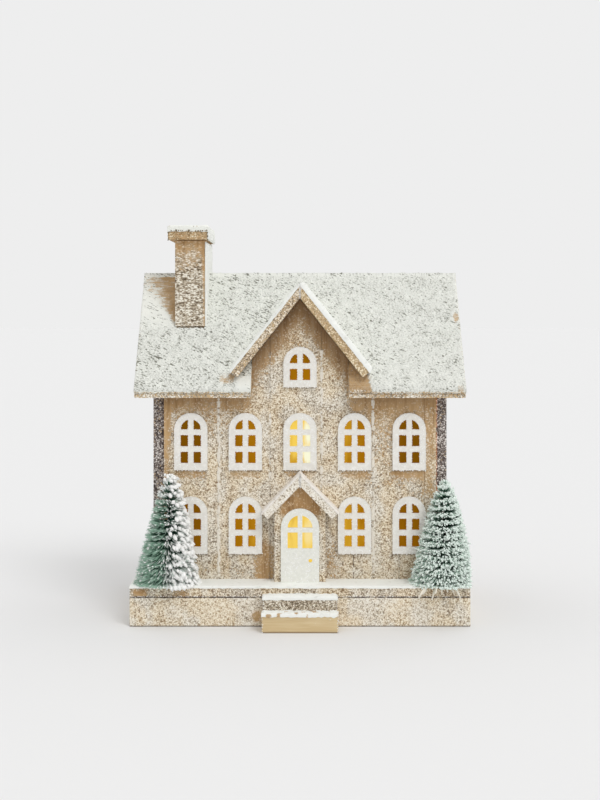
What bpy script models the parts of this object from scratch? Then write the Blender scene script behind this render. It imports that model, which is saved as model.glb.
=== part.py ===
"""Light-up christmas village house: one object per sub-part, in metres, +Z up.

The front faces -Y and the origin is the middle of the underside.
"""
import math
import random

import bmesh
import bpy
from mathutils import Vector
from mathutils.geometry import interpolate_bezier, tessellate_polygon

# Gap left between two pieces that touch
SEAT = 0.0003
# Width of the worn edge on boards and blocks
EDGE = 0.0004
# How near to a plane a face counts as lying in it
FLAT = 0.00001

# Base box and front steps
BASE_WIDTH = 0.250
BASE_DEPTH = 0.150
BASE_HEIGHT = 0.029
TOP_BOARD = 0.0073
RAIL_THICKNESS = 0.008
STEP_WIDTH = 0.0552
STEP_TREAD = 0.0095
STEP_RISE = 0.0133
UPPER_STEP_RISE = 0.0098
UPPER_STEP_INSET = 0.0005

# House walls
HOUSE_DEPTH = 0.110
HOUSE_SETBACK = 0.025
FRONT_WIDTH = 0.2047
FRONT_THICKNESS = 0.005
SIDE_THICKNESS = 0.0079
SIDE_SETBACK = 0.003
PLANK_PITCH = 0.0387
PLANK_SHIFT = -0.0032
GROOVE_WIDTH = 0.0008
GROOVE_DEPTH = 0.0006
GROOVE_EDGE = 0.005

# Main roof, its thickness with the snow coat
RIDGE_HEIGHT = 0.262
ROOF_LENGTH = 0.2463
ROOF_SLOPE = math.radians(52.0)
ROOF_THICKNESS = 0.0052
EAVE_OVERHANG = 0.013
SNOW_LUMP = 0.0041
SNOW_RELIEF = 0.0011
SNOW_SEED = 7

# Middle gable and its two roof boards
GABLE_WALL_WIDTH = 0.072
GABLE_ROOF_WIDTH = 0.104
GABLE_APEX = 0.2517
GABLE_SLOPE = math.radians(51.5)
ROOF_BOARD = 0.0068

# Chimney
CHIMNEY_X = -0.0843
CHIMNEY_WIDTH = 0.0235
CHIMNEY_DEPTH = 0.0676
CHIMNEY_RISE = 0.0236
CAP_OVERHANG = 0.0036
CAP_SHIFT = -0.0016
CAP_THICKNESS = 0.0105

# Windows: an arched frame with two arched panes over rows of square panes
WINDOW_WIDTH = 0.0249
WINDOW_SIDE = 0.0047
WINDOW_FOOT = 0.0052
WINDOW_BAR = 0.004
PANE_HEIGHT = 0.0086
WINDOW_PITCH = 0.041
UPPER_COLUMNS = (-2, -1, 0, 1, 2)
LOWER_COLUMNS = (-2, -1, 1, 2)
PANE_ROW_COUNT = 2
ATTIC_ROW_COUNT = 1
TRIM_THICKNESS = 0.002
LOWER_WINDOW_Z = 0.0491
UPPER_WINDOW_Z = 0.1119
ATTIC_WINDOW_Z = 0.1742
HOLE_MARGIN = 0.0022
FILM_THICKNESS = 0.0005
FILM_MARGIN = 0.003
ARC_STEPS = 12
PANE_ARC_STEPS = 5

# Door and porch
DOOR_WIDTH = 0.0285
DOOR_HEIGHT = 0.0554
DOOR_SIDE = 0.005
DOOR_BAR = 0.0034
DOOR_PANE = 0.0119
DOOR_HOLE_RISE = 0.012
DOOR_HOLE_MARGIN = 0.003
KNOB_X = 0.0077
KNOB_RISE = 0.0167
KNOB_RADIUS = 0.0015
KNOB_STEPS = 10
PORCH_WIDTH = 0.038
PORCH_PROUD = 0.011
PORCH_ROOF_WIDTH = 0.0574
PORCH_APEX = 0.1114
PORCH_SLOPE = math.radians(45.6)
PORCH_OVERHANG = 0.006

# Bottle-brush trees
TREE_LEFT_INSET = 0.0255
TREE_LEFT_HEIGHT = 0.0827
TREE_LEFT_LEAN = 0.035
TREE_RIGHT_INSET = 0.0195
TREE_RIGHT_HEIGHT = 0.079
TREE_RIGHT_LEAN = 0.030
TREE_FORWARD = 0.0125
TREE_RADIUS = 0.0252
TREE_TOP_RADIUS = 0.003
STEM_RADIUS = 0.0008
STEM_FLAT = 0.6
STEM_TURNS = 9
STEM_SINK = 0.004
STEM_SIDES = 6
STEM_STEPS = 26
BRUSH_WALL = 0.0009
BRUSH_CLEAR_FOOT = 0.0075
BRUSH_CLEAR_TIP = 0.003
BRUSH_RINGS = 25
BRUSH_SIDES = 8
STRAND_FOOT = 0.001
STRAND_TIP = 0.0003
STRAND_DROOP = math.radians(-14.0)
STRAND_TOP_RISE = math.radians(42.0)
STRAND_RAGGED = 0.16
STRAND_MARGIN = 0.0006

# Cells and battery case, under the top board
CELL_DIAMETER = 0.0145
CELL_LENGTH = 0.0505
NUB_RADIUS = 0.0027
NUB_HEIGHT = 0.0012
CELL_CHAMFER = 0.0004
CELL_SPACING = 0.0151
CASE_WALL = 0.002
CASE_LIP = 0.001
LID_THICKNESS = 0.0014
LID_GROOVE = 0.0009
GRIP_COUNT = 3
GRIP_PITCH = 0.002
GRIP_WIDTH = 0.0008
GRIP_LENGTH = 0.014
GRIP_HEIGHT = 0.0005
GRIP_INSET = 0.005
EAR_SIZE = 0.008
EAR_THICKNESS = 0.003
CONTACT_THICKNESS = 0.0005
CONTACT_WIDTH = 0.008
CONTACT_HEIGHT = 0.0112
TAB_REACH = 0.0045
TAB_DROP = 0.001
SPRING_LENGTH = 0.004
SPRING_RADIUS = 0.0036
SPRING_TAPER = 0.0012
SPRING_WIRE = 0.0003
SPRING_TURNS = 3
SPRING_STEPS = 10
SPRING_SIDES = 5
SPRING_CLEAR = 0.00003

# Screws that hold the case
SCREW_RADIUS = 0.0012
SCREW_HEAD_RADIUS = 0.0025
SCREW_HEAD_RIM = 0.002
SCREW_HEAD_HEIGHT = 0.0016
SCREW_BITE = 0.005
SCREW_TIP = 0.0016
SCREW_CROSS = 0.0006
SCREW_CROSS_REACH = 0.0015
SCREW_CROSS_DEPTH = 0.0008

# Slide switch
SWITCH_LENGTH = 0.012
SWITCH_WIDTH = 0.008
SWITCH_HEIGHT = 0.005
SLIDER_SIZE = 0.0024
SLIDER_PLATE_X = 0.005
SLIDER_PLATE_Y = 0.004
SLIDER_PLATE_Z = 0.0008
SLIDER_PROUD = 0.0012
SWITCH_TRAVEL = 0.004

# Lamp post, LEDs and leads
POST_X = 0.006
POST_SETBACK = 0.032
POST_WIDTH = 0.010
POST_THICKNESS = 0.003
POST_TOP_MARGIN = 0.006
POST_FOOT_WIDTH = 0.020
POST_FOOT_DEPTH = 0.012
POST_FOOT_THICKNESS = 0.003
LED_LOW_Z = 0.0585
LED_HIGH_Z = 0.1365
LED_RADIUS = 0.0025
LED_LENGTH = 0.0086
LED_DOME_STEPS = 4
LED_FLANGE_RADIUS = 0.0029
LED_FLANGE = 0.001
LED_LEG = 0.0005
LED_LEG_LENGTH = 0.003
LED_LEG_PITCH = 0.00254
LEAD_RADIUS = 0.0006
LEAD_HOLE_RADIUS = 0.0025
LEAD_STEP = 0.003
LEAD_LIFT = 0.004

ROUND_STEPS = 24
SMALL_ROUND_STEPS = 12

# Places that follow from the sizes above
STEP_RUN = 2 * STEP_TREAD
BASE_FRONT = STEP_RUN / 2 - BASE_DEPTH / 2
BASE_BACK = BASE_FRONT + BASE_DEPTH
BOARD_UNDER = BASE_HEIGHT - TOP_BOARD
FLOOR_Z = BASE_HEIGHT + SEAT
WALL_FRONT = BASE_FRONT + HOUSE_SETBACK
WALL_BACK = WALL_FRONT + HOUSE_DEPTH
RIDGE_Y = (WALL_FRONT + WALL_BACK) / 2
EAVE_FRONT = WALL_FRONT - EAVE_OVERHANG
EAVE_BACK = WALL_BACK + EAVE_OVERHANG
ROOF_DROP = ROOF_THICKNESS / math.cos(ROOF_SLOPE)
ROOF_SEAT = SEAT / math.cos(ROOF_SLOPE)
SIDE_INNER = FRONT_WIDTH / 2 + SEAT
TRIM_FRONT = WALL_FRONT - SEAT - TRIM_THICKNESS
TREE_Y = BASE_FRONT + TREE_FORWARD
TREE_LEFT_X = TREE_LEFT_INSET - BASE_WIDTH / 2
TREE_RIGHT_X = BASE_WIDTH / 2 - TREE_RIGHT_INSET
POST_Y = WALL_FRONT + POST_SETBACK
POST_BACK = POST_Y + POST_THICKNESS

# Places inside the battery case, from its left end to its right
CASE_TOP = BOARD_UNDER - SEAT
PLATE_ROOM = SEAT + CONTACT_THICKNESS + SEAT
BAY_LENGTH = 2 * PLATE_ROOM + SPRING_LENGTH + SEAT + CELL_LENGTH
CHAMBER_LENGTH = SWITCH_WIDTH + 2 * SEAT
CASE_LENGTH = 3 * CASE_WALL + BAY_LENGTH + CHAMBER_LENGTH
CASE_LEFT = -CASE_LENGTH / 2
BAY_LEFT = CASE_LEFT + CASE_WALL
BAY_RIGHT = BAY_LEFT + BAY_LENGTH
CHAMBER_LEFT = BAY_RIGHT + CASE_WALL
CHAMBER_X = CHAMBER_LEFT + CHAMBER_LENGTH / 2
BAY_HALF = (CELL_SPACING + CELL_DIAMETER) / 2 + SEAT
CASE_HALF = BAY_HALF + CASE_WALL
BAY_TOP = CASE_TOP - CASE_WALL
CELL_Z = BAY_TOP - SEAT - CELL_DIAMETER / 2
LID_TOP = CELL_Z - CELL_DIAMETER / 2 - SEAT
LID_UNDER = LID_TOP - LID_THICKNESS
CASE_UNDER = LID_UNDER - SEAT - CASE_LIP
EAR_Y = CASE_HALF + EAR_SIZE / 2
SCREW_PLACES = (RIDGE_Y - EAR_Y, RIDGE_Y + EAR_Y)
CELL_A_Y = RIDGE_Y - CELL_SPACING / 2
CELL_B_Y = RIDGE_Y + CELL_SPACING / 2
TAB_TOP = BAY_TOP - TAB_DROP
CHAMBER_FLOOR = CASE_UNDER + CASE_WALL
SLIDER_LOW = CHAMBER_FLOOR + SEAT
SWITCH_LOW = SLIDER_LOW + SLIDER_PLATE_Z + SEAT

MATERIALS = {
    "wood_sprayed": ((0.62, 0.50, 0.35), 0.85, 0.0),
    "wood_bare": ((0.70, 0.52, 0.31), 0.70, 0.0),
    "snow_coat": ((0.85, 0.85, 0.82), 0.95, 0.0),
    "white_paint": ((0.84, 0.82, 0.77), 0.60, 0.0),
    "amber_film": ((0.85, 0.45, 0.05), 0.45, 0.0),
    "brush_green": ((0.16, 0.30, 0.22), 0.80, 0.0),
    "steel_wire": ((0.55, 0.55, 0.54), 0.35, 1.0),
    "case_plastic": ((0.08, 0.08, 0.08), 0.50, 0.0),
    "cell_wrap": ((0.10, 0.22, 0.30), 0.40, 0.0),
    "contact_metal": ((0.70, 0.68, 0.62), 0.30, 1.0),
    "led_lens": ((0.95, 0.80, 0.45), 0.20, 0.0),
    "lead_red": ((0.60, 0.05, 0.04), 0.50, 0.0),
    "lead_black": ((0.03, 0.03, 0.03), 0.50, 0.0),
}


def clear_scene():
    """Remove every object and what it leaves behind."""
    for obj in list(bpy.data.objects):
        bpy.data.objects.remove(obj, do_unlink=True)
    for group in (bpy.data.meshes, bpy.data.materials, bpy.data.curves):
        for item in list(group):
            group.remove(item)


def node_material(name, slot):
    """A Principled material of the object's own."""
    colour, roughness, metallic = MATERIALS[slot]
    material = bpy.data.materials.new(f"{slot}.{name}")
    material.use_nodes = True
    shader = material.node_tree.nodes["Principled BSDF"]
    shader.inputs["Base Color"].default_value = (*colour, 1.0)
    shader.inputs["Roughness"].default_value = roughness
    shader.inputs["Metallic"].default_value = metallic
    return material


def finish_mesh(name, work, slot):
    """Turn a closed bmesh into a named object with outward normals."""
    bmesh.ops.recalc_face_normals(work, faces=work.faces)
    mesh = bpy.data.meshes.new(name)
    work.to_mesh(mesh)
    work.free()
    return link_data(name, mesh, slot)


def link_data(name, data, slot):
    obj = bpy.data.objects.new(name, data)
    bpy.context.scene.collection.objects.link(obj)
    if slot:
        data.materials.append(node_material(name, slot))
    return obj


def add_object(name, vertices, faces, slot, smooth=False):
    """A closed mesh from computed points."""
    work = bmesh.new()
    points = [work.verts.new(v) for v in vertices]
    for face in faces:
        work.faces.new([points[i] for i in face])
    obj = finish_mesh(name, work, slot)
    if smooth:
        shade_round(obj)
    return obj


def set_origin(obj, point):
    """Put a moving piece's origin on the line that it slides along."""
    for vertex in obj.data.vertices:
        vertex.co -= Vector(point)
    obj.location = point


def shade_round(obj, angle=math.radians(40)):
    """Smooth shading that keeps the true edges."""
    obj.data.shade_smooth()
    obj.data.set_sharp_from_angle(angle=angle)


def place(axis, u, v, t):
    """A point from flat coordinates (u, v) at t along the axis."""
    if axis == "X":
        return (t, u, v)
    if axis == "Y":
        return (u, t, v)
    return (u, v, t)


def slab(name, outline, axis, low, high, slot=None, holes=()):
    """An outline with its holes, drawn out along the axis from low to high."""
    loops = [outline, *holes]
    work = bmesh.new()
    points = [work.verts.new(place(axis, u, v, low)) for loop in loops for u, v in loop]
    flat = [[Vector((u, v, 0)) for u, v in loop] for loop in loops]
    if holes:
        faces = [work.faces.new([points[i] for i in t]) for t in tessellate_polygon(flat)]
    else:
        faces = [work.faces.new(points)]
    grown = bmesh.ops.extrude_face_region(work, geom=faces)["geom"]
    far = [item for item in grown if isinstance(item, bmesh.types.BMVert)]
    bmesh.ops.translate(work, verts=far, vec=Vector(place(axis, 0, 0, high - low)))
    return finish_mesh(name, work, slot)


def rectangle(u0, u1, v0, v1):
    return [(u0, v0), (u1, v0), (u1, v1), (u0, v1)]


def box(name, x0, x1, y0, y1, z0, z1, slot=None):
    return slab(name, rectangle(x0, x1, y0, y1), "Z", z0, z1, slot)


def soften(obj):
    """Take the sharpness off all the edges of a board that has no holes yet."""
    work = bmesh.new()
    work.from_mesh(obj.data)
    bmesh.ops.bevel(work, geom=list(work.edges), offset=EDGE, segments=1, affect="EDGES")
    work.to_mesh(obj.data)
    work.free()
    return obj


def circle(u, v, radius, steps):
    angles = [2 * math.pi * i / steps for i in range(steps)]
    return [(u + radius * math.cos(a), v + radius * math.sin(a)) for a in angles]


def turned(name, profile, base, direction, slot, steps=ROUND_STEPS):
    """A round solid: profile is (radius, distance) pairs, from pole to pole."""
    turn = Vector((0, 0, 1)).rotation_difference(Vector(direction)).to_matrix()
    origin = Vector(base)
    vertices = []
    rings = []
    for radius, distance in profile:
        if radius == 0:
            rings.append([len(vertices)])
            vertices.append(origin + turn @ Vector((0, 0, distance)))
            continue
        rings.append(list(range(len(vertices), len(vertices) + steps)))
        for u, v in circle(0, 0, radius, steps):
            vertices.append(origin + turn @ Vector((u, v, distance)))
    return add_object(name, vertices, bridge_rings(rings), slot, smooth=True)


def bridge_rings(rings):
    """Faces between neighbouring rings, with fans at single-point ends."""
    faces = []
    for low, high in zip(rings, rings[1:]):
        count = max(len(low), len(high))
        for i in range(count):
            j = (i + 1) % count
            if len(low) == 1:
                faces.append((low[0], high[i], high[j]))
            elif len(high) == 1:
                faces.append((low[i], low[j], high[0]))
            else:
                faces.append((low[i], low[j], high[j], high[i]))
    return faces


def coil_wire(name, path, radius, slot):
    """Round spring wire along a computed path, with flat ends."""
    points = [Vector(p) for p in path]
    vertices = []
    rings = []
    normal = None
    for i, point in enumerate(points):
        ahead = points[min(i + 1, len(points) - 1)]
        behind = points[max(i - 1, 0)]
        along = (ahead - behind).normalized()
        if normal is None:
            normal = along.orthogonal().normalized()
        normal = (normal - along * normal.dot(along)).normalized()
        side = along.cross(normal)
        rings.append(list(range(len(vertices), len(vertices) + SPRING_SIDES)))
        for u, v in circle(0, 0, radius, SPRING_SIDES):
            vertices.append(point + normal * u + side * v)
    faces = bridge_rings(rings)
    faces.append(tuple(reversed(rings[0])))
    faces.append(tuple(rings[-1]))
    return add_object(name, vertices, faces, slot, smooth=True)


def smooth_route(corners, step):
    """Points about a step apart on a smooth curve through the corners."""
    points = [Vector(c) for c in corners]
    points = [2 * points[0] - points[1], *points, 2 * points[-1] - points[-2]]
    route = [points[1]]
    for before, start, end, after in zip(points, points[1:], points[2:], points[3:]):
        pull = (end - start).length / 3
        leave = start + (end - before).normalized() * pull
        arrive = end - (after - start).normalized() * pull
        count = max(2, round((end - start).length / step))
        route += interpolate_bezier(start, leave, arrive, end, count + 1)[1:]
    return route


def lead(name, corners, slot):
    """An insulated lead along a smooth route, with closed ends."""
    route = smooth_route(corners, LEAD_STEP)
    curve = bpy.data.curves.new(name, "CURVE")
    curve.dimensions = "3D"
    curve.bevel_depth = LEAD_RADIUS
    curve.bevel_resolution = 2
    curve.use_fill_caps = True
    spline = curve.splines.new("POLY")
    spline.points.add(len(route) - 1)
    for point, place_on_route in zip(spline.points, route):
        point.co = (*place_on_route, 1.0)
    return link_data(name, curve, slot)


def combine(target, tool, operation):
    """Apply an exact Boolean and remove the tool."""
    modifier = target.modifiers.new(operation.lower(), "BOOLEAN")
    modifier.operation = operation
    modifier.solver = "EXACT"
    modifier.object = tool
    graph = bpy.context.evaluated_depsgraph_get()
    mesh = bpy.data.meshes.new_from_object(target.evaluated_get(graph))
    target.modifiers.remove(modifier)
    old = target.data
    target.data = mesh
    mesh.name = target.name
    bpy.data.meshes.remove(old)
    used = tool.data
    bpy.data.objects.remove(tool, do_unlink=True)
    bpy.data.meshes.remove(used)
    return target


def cut(target, tool):
    return combine(target, tool, "DIFFERENCE")


def fuse(target, tool):
    return combine(target, tool, "UNION")


def drill(obj, x, y, radius, low, high):
    """An upright round hole."""
    cut(obj, slab("drill", circle(x, y, radius, SMALL_ROUND_STEPS), "Z", low, high))


def keep_side(obj, point, normal):
    """Cut a convex solid by a plane and keep the side the normal points to."""
    work = bmesh.new()
    work.from_mesh(obj.data)
    geometry = list(work.verts) + list(work.edges) + list(work.faces)
    result = bmesh.ops.bisect_plane(
        work, geom=geometry, plane_co=point, plane_no=normal, clear_inner=True
    )
    rim = [item for item in result["geom_cut"] if isinstance(item, bmesh.types.BMEdge)]
    bmesh.ops.contextual_create(work, geom=rim)
    bmesh.ops.recalc_face_normals(work, faces=work.faces)
    work.to_mesh(obj.data)
    work.free()
    return obj


def roof_top(y):
    """Height of the main roof's outer face."""
    return RIDGE_HEIGHT - abs(y - RIDGE_Y) * math.tan(ROOF_SLOPE)


def roof_under(y):
    return roof_top(y) - ROOF_DROP


def build_base():
    half = BASE_WIDTH / 2
    inner = half - RAIL_THICKNESS
    rail_top = BOARD_UNDER - SEAT
    build_top_board(half)
    side_front = BASE_FRONT + RAIL_THICKNESS + SEAT
    side_back = BASE_BACK - RAIL_THICKNESS - SEAT
    rails = {
        "base_rail_front": (-half, half, BASE_FRONT, BASE_FRONT + RAIL_THICKNESS),
        "base_rail_back": (-half, half, BASE_BACK - RAIL_THICKNESS, BASE_BACK),
        "base_rail_left": (-half, -inner, side_front, side_back),
        "base_rail_right": (inner, half, side_front, side_back),
    }
    for name, sides in rails.items():
        soften(box(name, *sides, 0, rail_top, "wood_sprayed"))


def build_top_board(half):
    """The top board, with stem holes, screw holes and the lead hole."""
    board = box("base_top", -half, half, BASE_FRONT, BASE_BACK,
                BOARD_UNDER, BASE_HEIGHT, "wood_sprayed")
    soften(board)
    drill(board, CHAMBER_X, RIDGE_Y, LEAD_HOLE_RADIUS, BOARD_UNDER - SEAT, BASE_HEIGHT + SEAT)
    for x in (TREE_LEFT_X, TREE_RIGHT_X):
        drill(board, x, TREE_Y, STEM_RADIUS + SEAT,
              BASE_HEIGHT - STEM_SINK - SEAT, BASE_HEIGHT + SEAT)
    for y in SCREW_PLACES:
        drill(board, 0, y, SCREW_RADIUS + SEAT,
              BOARD_UNDER - SEAT, BOARD_UNDER + SCREW_BITE + SEAT)


def build_steps():
    half = STEP_WIDTH / 2
    back = BASE_FRONT - SEAT
    soften(box("step_lower", -half, half, BASE_FRONT - STEP_RUN, back,
               0, STEP_RISE, "wood_bare"))
    half -= UPPER_STEP_INSET
    low = STEP_RISE + SEAT
    soften(box("step_upper", -half, half, BASE_FRONT - STEP_TREAD, back,
               low, low + UPPER_STEP_RISE, "wood_sprayed"))


def arch(x, bottom, width, height):
    """Outline of an upright panel with a half-round top."""
    radius = width / 2
    spring = bottom + height - radius
    points = [(x - radius, bottom), (x + radius, bottom)]
    for i in range(ARC_STEPS + 1):
        angle = math.pi * i / ARC_STEPS
        points.append((x + radius * math.cos(angle), spring + radius * math.sin(angle)))
    return points


def arched_panes(x, spring, radius, bar):
    """The two quarter-round panes above the spring line."""
    first = math.acos(bar / 2 / radius)
    panes = []
    for side in (-1, 1):
        pane = [(x + side * bar / 2, spring)]
        for i in range(PANE_ARC_STEPS + 1):
            angle = first * (1 - i / PANE_ARC_STEPS)
            pane.append((x + side * radius * math.cos(angle), spring + radius * math.sin(angle)))
        panes.append(pane)
    return panes


def square_panes(x, low, high, radius, bar):
    """One row of two panes."""
    left = rectangle(x - radius, x - bar / 2, low, high)
    right = rectangle(x + bar / 2, x + radius, low, high)
    return [left, right]


def window_height(rows):
    return WINDOW_FOOT + rows * (PANE_HEIGHT + WINDOW_BAR) + WINDOW_WIDTH / 2


def build_window(name, x, bottom, rows):
    radius = WINDOW_WIDTH / 2 - WINDOW_SIDE
    height = window_height(rows)
    holes = arched_panes(x, bottom + height - WINDOW_WIDTH / 2, radius, WINDOW_BAR)
    low = bottom + WINDOW_FOOT
    for _ in range(rows):
        holes += square_panes(x, low, low + PANE_HEIGHT, radius, WINDOW_BAR)
        low += PANE_HEIGHT + WINDOW_BAR
    slab(name, arch(x, bottom, WINDOW_WIDTH, height), "Y",
         TRIM_FRONT, TRIM_FRONT + TRIM_THICKNESS, "white_paint", holes)


def window_places():
    """Name, middle, foot height and pane rows of every window."""
    places = []
    for i, column in enumerate(UPPER_COLUMNS):
        x = column * WINDOW_PITCH
        places.append((f"window_upper_{i + 1}", x, UPPER_WINDOW_Z, PANE_ROW_COUNT))
    for i, column in enumerate(LOWER_COLUMNS):
        x = column * WINDOW_PITCH
        places.append((f"window_lower_{i + 1}", x, LOWER_WINDOW_Z, PANE_ROW_COUNT))
    places.append(("window_attic", 0.0, ATTIC_WINDOW_Z, ATTIC_ROW_COUNT))
    return places


def window_hole(x, bottom, rows):
    width = WINDOW_WIDTH - 2 * HOLE_MARGIN
    height = window_height(rows) - 2 * HOLE_MARGIN
    return arch(x, bottom + HOLE_MARGIN, width, height)


def door_hole():
    width = DOOR_WIDTH - 2 * DOOR_HOLE_MARGIN
    height = DOOR_HEIGHT - DOOR_HOLE_RISE - DOOR_HOLE_MARGIN
    return arch(0.0, FLOOR_Z + DOOR_HOLE_RISE, width, height)


def gable_outline(half, low, gap):
    """Half width and foot height of the gable, under its roof boards less a gap."""
    slope = math.tan(GABLE_SLOPE)
    peak = GABLE_APEX - (ROOF_BOARD + gap) / math.cos(GABLE_SLOPE)
    return [(half, low), (half, peak - half * slope), (0.0, peak),
            (-half, peak - half * slope), (-half, low)]


def build_front_wall():
    half = FRONT_WIDTH / 2
    shoulder = roof_under(WALL_FRONT) - ROOF_SEAT
    outline = [(-half, FLOOR_Z), (half, FLOOR_Z), (half, shoulder)]
    outline += gable_outline(GABLE_WALL_WIDTH / 2, shoulder, SEAT)
    outline.append((-half, shoulder))
    holes = [window_hole(x, bottom, rows) for _, x, bottom, rows in window_places()]
    holes.append(door_hole())
    wall = slab("wall_front", outline, "Y",
                WALL_FRONT, WALL_FRONT + FRONT_THICKNESS, "wood_sprayed", holes)
    count = math.ceil(half / PLANK_PITCH)
    for i in range(-count, count):
        x = PLANK_SHIFT + (i + 0.5) * PLANK_PITCH
        if abs(x) < half - GROOVE_EDGE:
            cut(wall, box("groove", x - GROOVE_WIDTH / 2, x + GROOVE_WIDTH / 2,
                          WALL_FRONT - GROOVE_DEPTH, WALL_FRONT + GROOVE_DEPTH,
                          BASE_HEIGHT, GABLE_APEX))


def build_other_walls():
    half = FRONT_WIDTH / 2
    shoulder = roof_under(WALL_FRONT) - ROOF_SEAT
    box("wall_back", -half, half, WALL_BACK - FRONT_THICKNESS, WALL_BACK,
        FLOOR_Z, shoulder, "wood_sprayed")
    front = WALL_FRONT + SIDE_SETBACK
    back = WALL_BACK - SIDE_SETBACK
    eave = roof_under(front) - ROOF_SEAT
    outline = [(front, FLOOR_Z), (back, FLOOR_Z), (back, eave),
               (RIDGE_Y, roof_under(RIDGE_Y) - ROOF_SEAT), (front, eave)]
    outer = SIDE_INNER + SIDE_THICKNESS
    slab("wall_left", outline, "X", -outer, -SIDE_INNER, "wood_sprayed")
    slab("wall_right", outline, "X", SIDE_INNER, outer, "wood_sprayed")


def roof_section(eave, side):
    """Section of one roof panel, from its eave to the ridge."""
    ridge = RIDGE_Y + side * SEAT / 2
    return [(eave, roof_top(eave)), (eave, roof_under(eave)),
            (ridge, roof_under(ridge)), (ridge, roof_top(ridge))]


def roof_normal(side):
    """Outward direction of the front (-1) or back (1) panel."""
    return Vector((0, side * math.sin(ROOF_SLOPE), math.cos(ROOF_SLOPE)))


def outer_faces(work, normal):
    """Faces of a roof panel that lie in its outer plane."""
    crest = Vector((0, RIDGE_Y, RIDGE_HEIGHT))
    return [face for face in work.faces if face.normal.dot(normal) > 1 - FLAT
            and abs((face.calc_center_median() - crest).dot(normal)) < FLAT]


def carries(point):
    """Whether the chimney or a gable board rests on the roof near a point."""
    beside_shaft = abs(point.x - CHIMNEY_X) < CHIMNEY_WIDTH / 2 + SNOW_LUMP
    over_ridge = abs(point.y - RIDGE_Y) < CHIMNEY_DEPTH / 2 + SNOW_LUMP
    rake = GABLE_APEX + SNOW_LUMP - abs(point.x) * math.tan(GABLE_SLOPE)
    return beside_shaft and over_ridge or point.y < RIDGE_Y and point.z < rake


def lump_snow(panel, eave, side):
    """Sink pits into a panel's outer face, so that its snow coat lies in lumps."""
    normal = roof_normal(side)
    down = normal.cross(Vector((side, 0, 0)))
    crest = Vector((0, RIDGE_Y, RIDGE_HEIGHT))
    slope_length = abs(eave - RIDGE_Y) / math.cos(ROOF_SLOPE)
    columns = int(ROOF_LENGTH / 2 / SNOW_LUMP)
    rows = int(slope_length / SNOW_LUMP)
    lines = [(i * SNOW_LUMP, Vector((1, 0, 0))) for i in range(-columns, columns + 1)]
    lines += [((i + 0.5) * SNOW_LUMP, down) for i in range(rows)]
    work = bmesh.new()
    work.from_mesh(panel.data)
    for distance, direction in lines:
        faces = outer_faces(work, normal)
        edges = {edge for face in faces for edge in face.edges}
        points = {point for face in faces for point in face.verts}
        bmesh.ops.bisect_plane(work, geom=[*faces, *edges, *points],
                               plane_co=crest + direction * distance, plane_no=direction)
    faces = set(outer_faces(work, normal))
    inner = [point for point in work.verts if faces.issuperset(point.link_faces)]
    inner.sort(key=lambda point: (round(point.co.x, 5), round(point.co.z, 5)))
    bmesh.ops.triangulate(work, faces=list(faces))
    chance = random.Random(SNOW_SEED)
    for point in inner:
        depth = chance.uniform(0, SNOW_RELIEF)
        if not carries(point.co):
            point.co -= normal * depth
    work.to_mesh(panel.data)
    work.free()


def build_main_roof():
    half = ROOF_LENGTH / 2
    back = slab("roof_back", roof_section(EAVE_BACK, 1), "X", -half, half, "snow_coat")
    lump_snow(soften(back), EAVE_BACK, 1)
    front = slab("roof_front", roof_section(EAVE_FRONT, -1), "X", -half, half, "snow_coat")
    soften(front)
    outline = gable_outline(GABLE_WALL_WIDTH / 2 + SEAT, BASE_HEIGHT, 0.0)
    cut(front, slab("gable_notch", outline, "Y", EAVE_FRONT - SEAT, RIDGE_Y - SEAT))
    lump_snow(front, EAVE_FRONT, -1)


def roof_board(name, side, half, apex, slope, low, high, slot):
    """One sloping board of a small gable roof, ends cut square to its face."""
    start = side * SEAT / 2
    drop = ROOF_BOARD / math.cos(slope)
    tip = apex - half * math.tan(slope)
    inset = ROOF_BOARD * math.sin(slope)
    outline = [(start, apex), (side * half, tip),
               (side * (half - inset), tip - ROOF_BOARD * math.cos(slope)),
               (start, apex - drop)]
    return slab(name, outline, "Y", low, high, slot)


def build_gable_roof():
    """Boards of the middle gable, cut to lie on the main roof."""
    reach = EAVE_FRONT + (GABLE_APEX - roof_top(EAVE_FRONT)) / math.tan(ROOF_SLOPE)
    seat_point = (0, EAVE_FRONT, roof_top(EAVE_FRONT) + ROOF_SEAT)
    normal = roof_normal(-1)
    for name, side in (("gable_roof_left", -1), ("gable_roof_right", 1)):
        board = roof_board(name, side, GABLE_ROOF_WIDTH / 2, GABLE_APEX, GABLE_SLOPE,
                           EAVE_FRONT, reach + SEAT, "wood_sprayed")
        soften(keep_side(board, seat_point, normal))


def build_chimney():
    half = CHIMNEY_WIDTH / 2
    front = RIDGE_Y - CHIMNEY_DEPTH / 2
    back = RIDGE_Y + CHIMNEY_DEPTH / 2
    top = RIDGE_HEIGHT + CHIMNEY_RISE
    outline = [(front, roof_top(front) + ROOF_SEAT), (RIDGE_Y, RIDGE_HEIGHT + ROOF_SEAT),
               (back, roof_top(back) + ROOF_SEAT), (back, top), (front, top)]
    soften(slab("chimney_shaft", outline, "X",
                CHIMNEY_X - half, CHIMNEY_X + half, "wood_sprayed"))
    middle = CHIMNEY_X + CAP_SHIFT
    soften(box("chimney_cap", middle - half - CAP_OVERHANG, middle + half + CAP_OVERHANG,
               front - CAP_OVERHANG, back + CAP_OVERHANG,
               top + SEAT, top + SEAT + CAP_THICKNESS, "wood_sprayed"))


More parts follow.
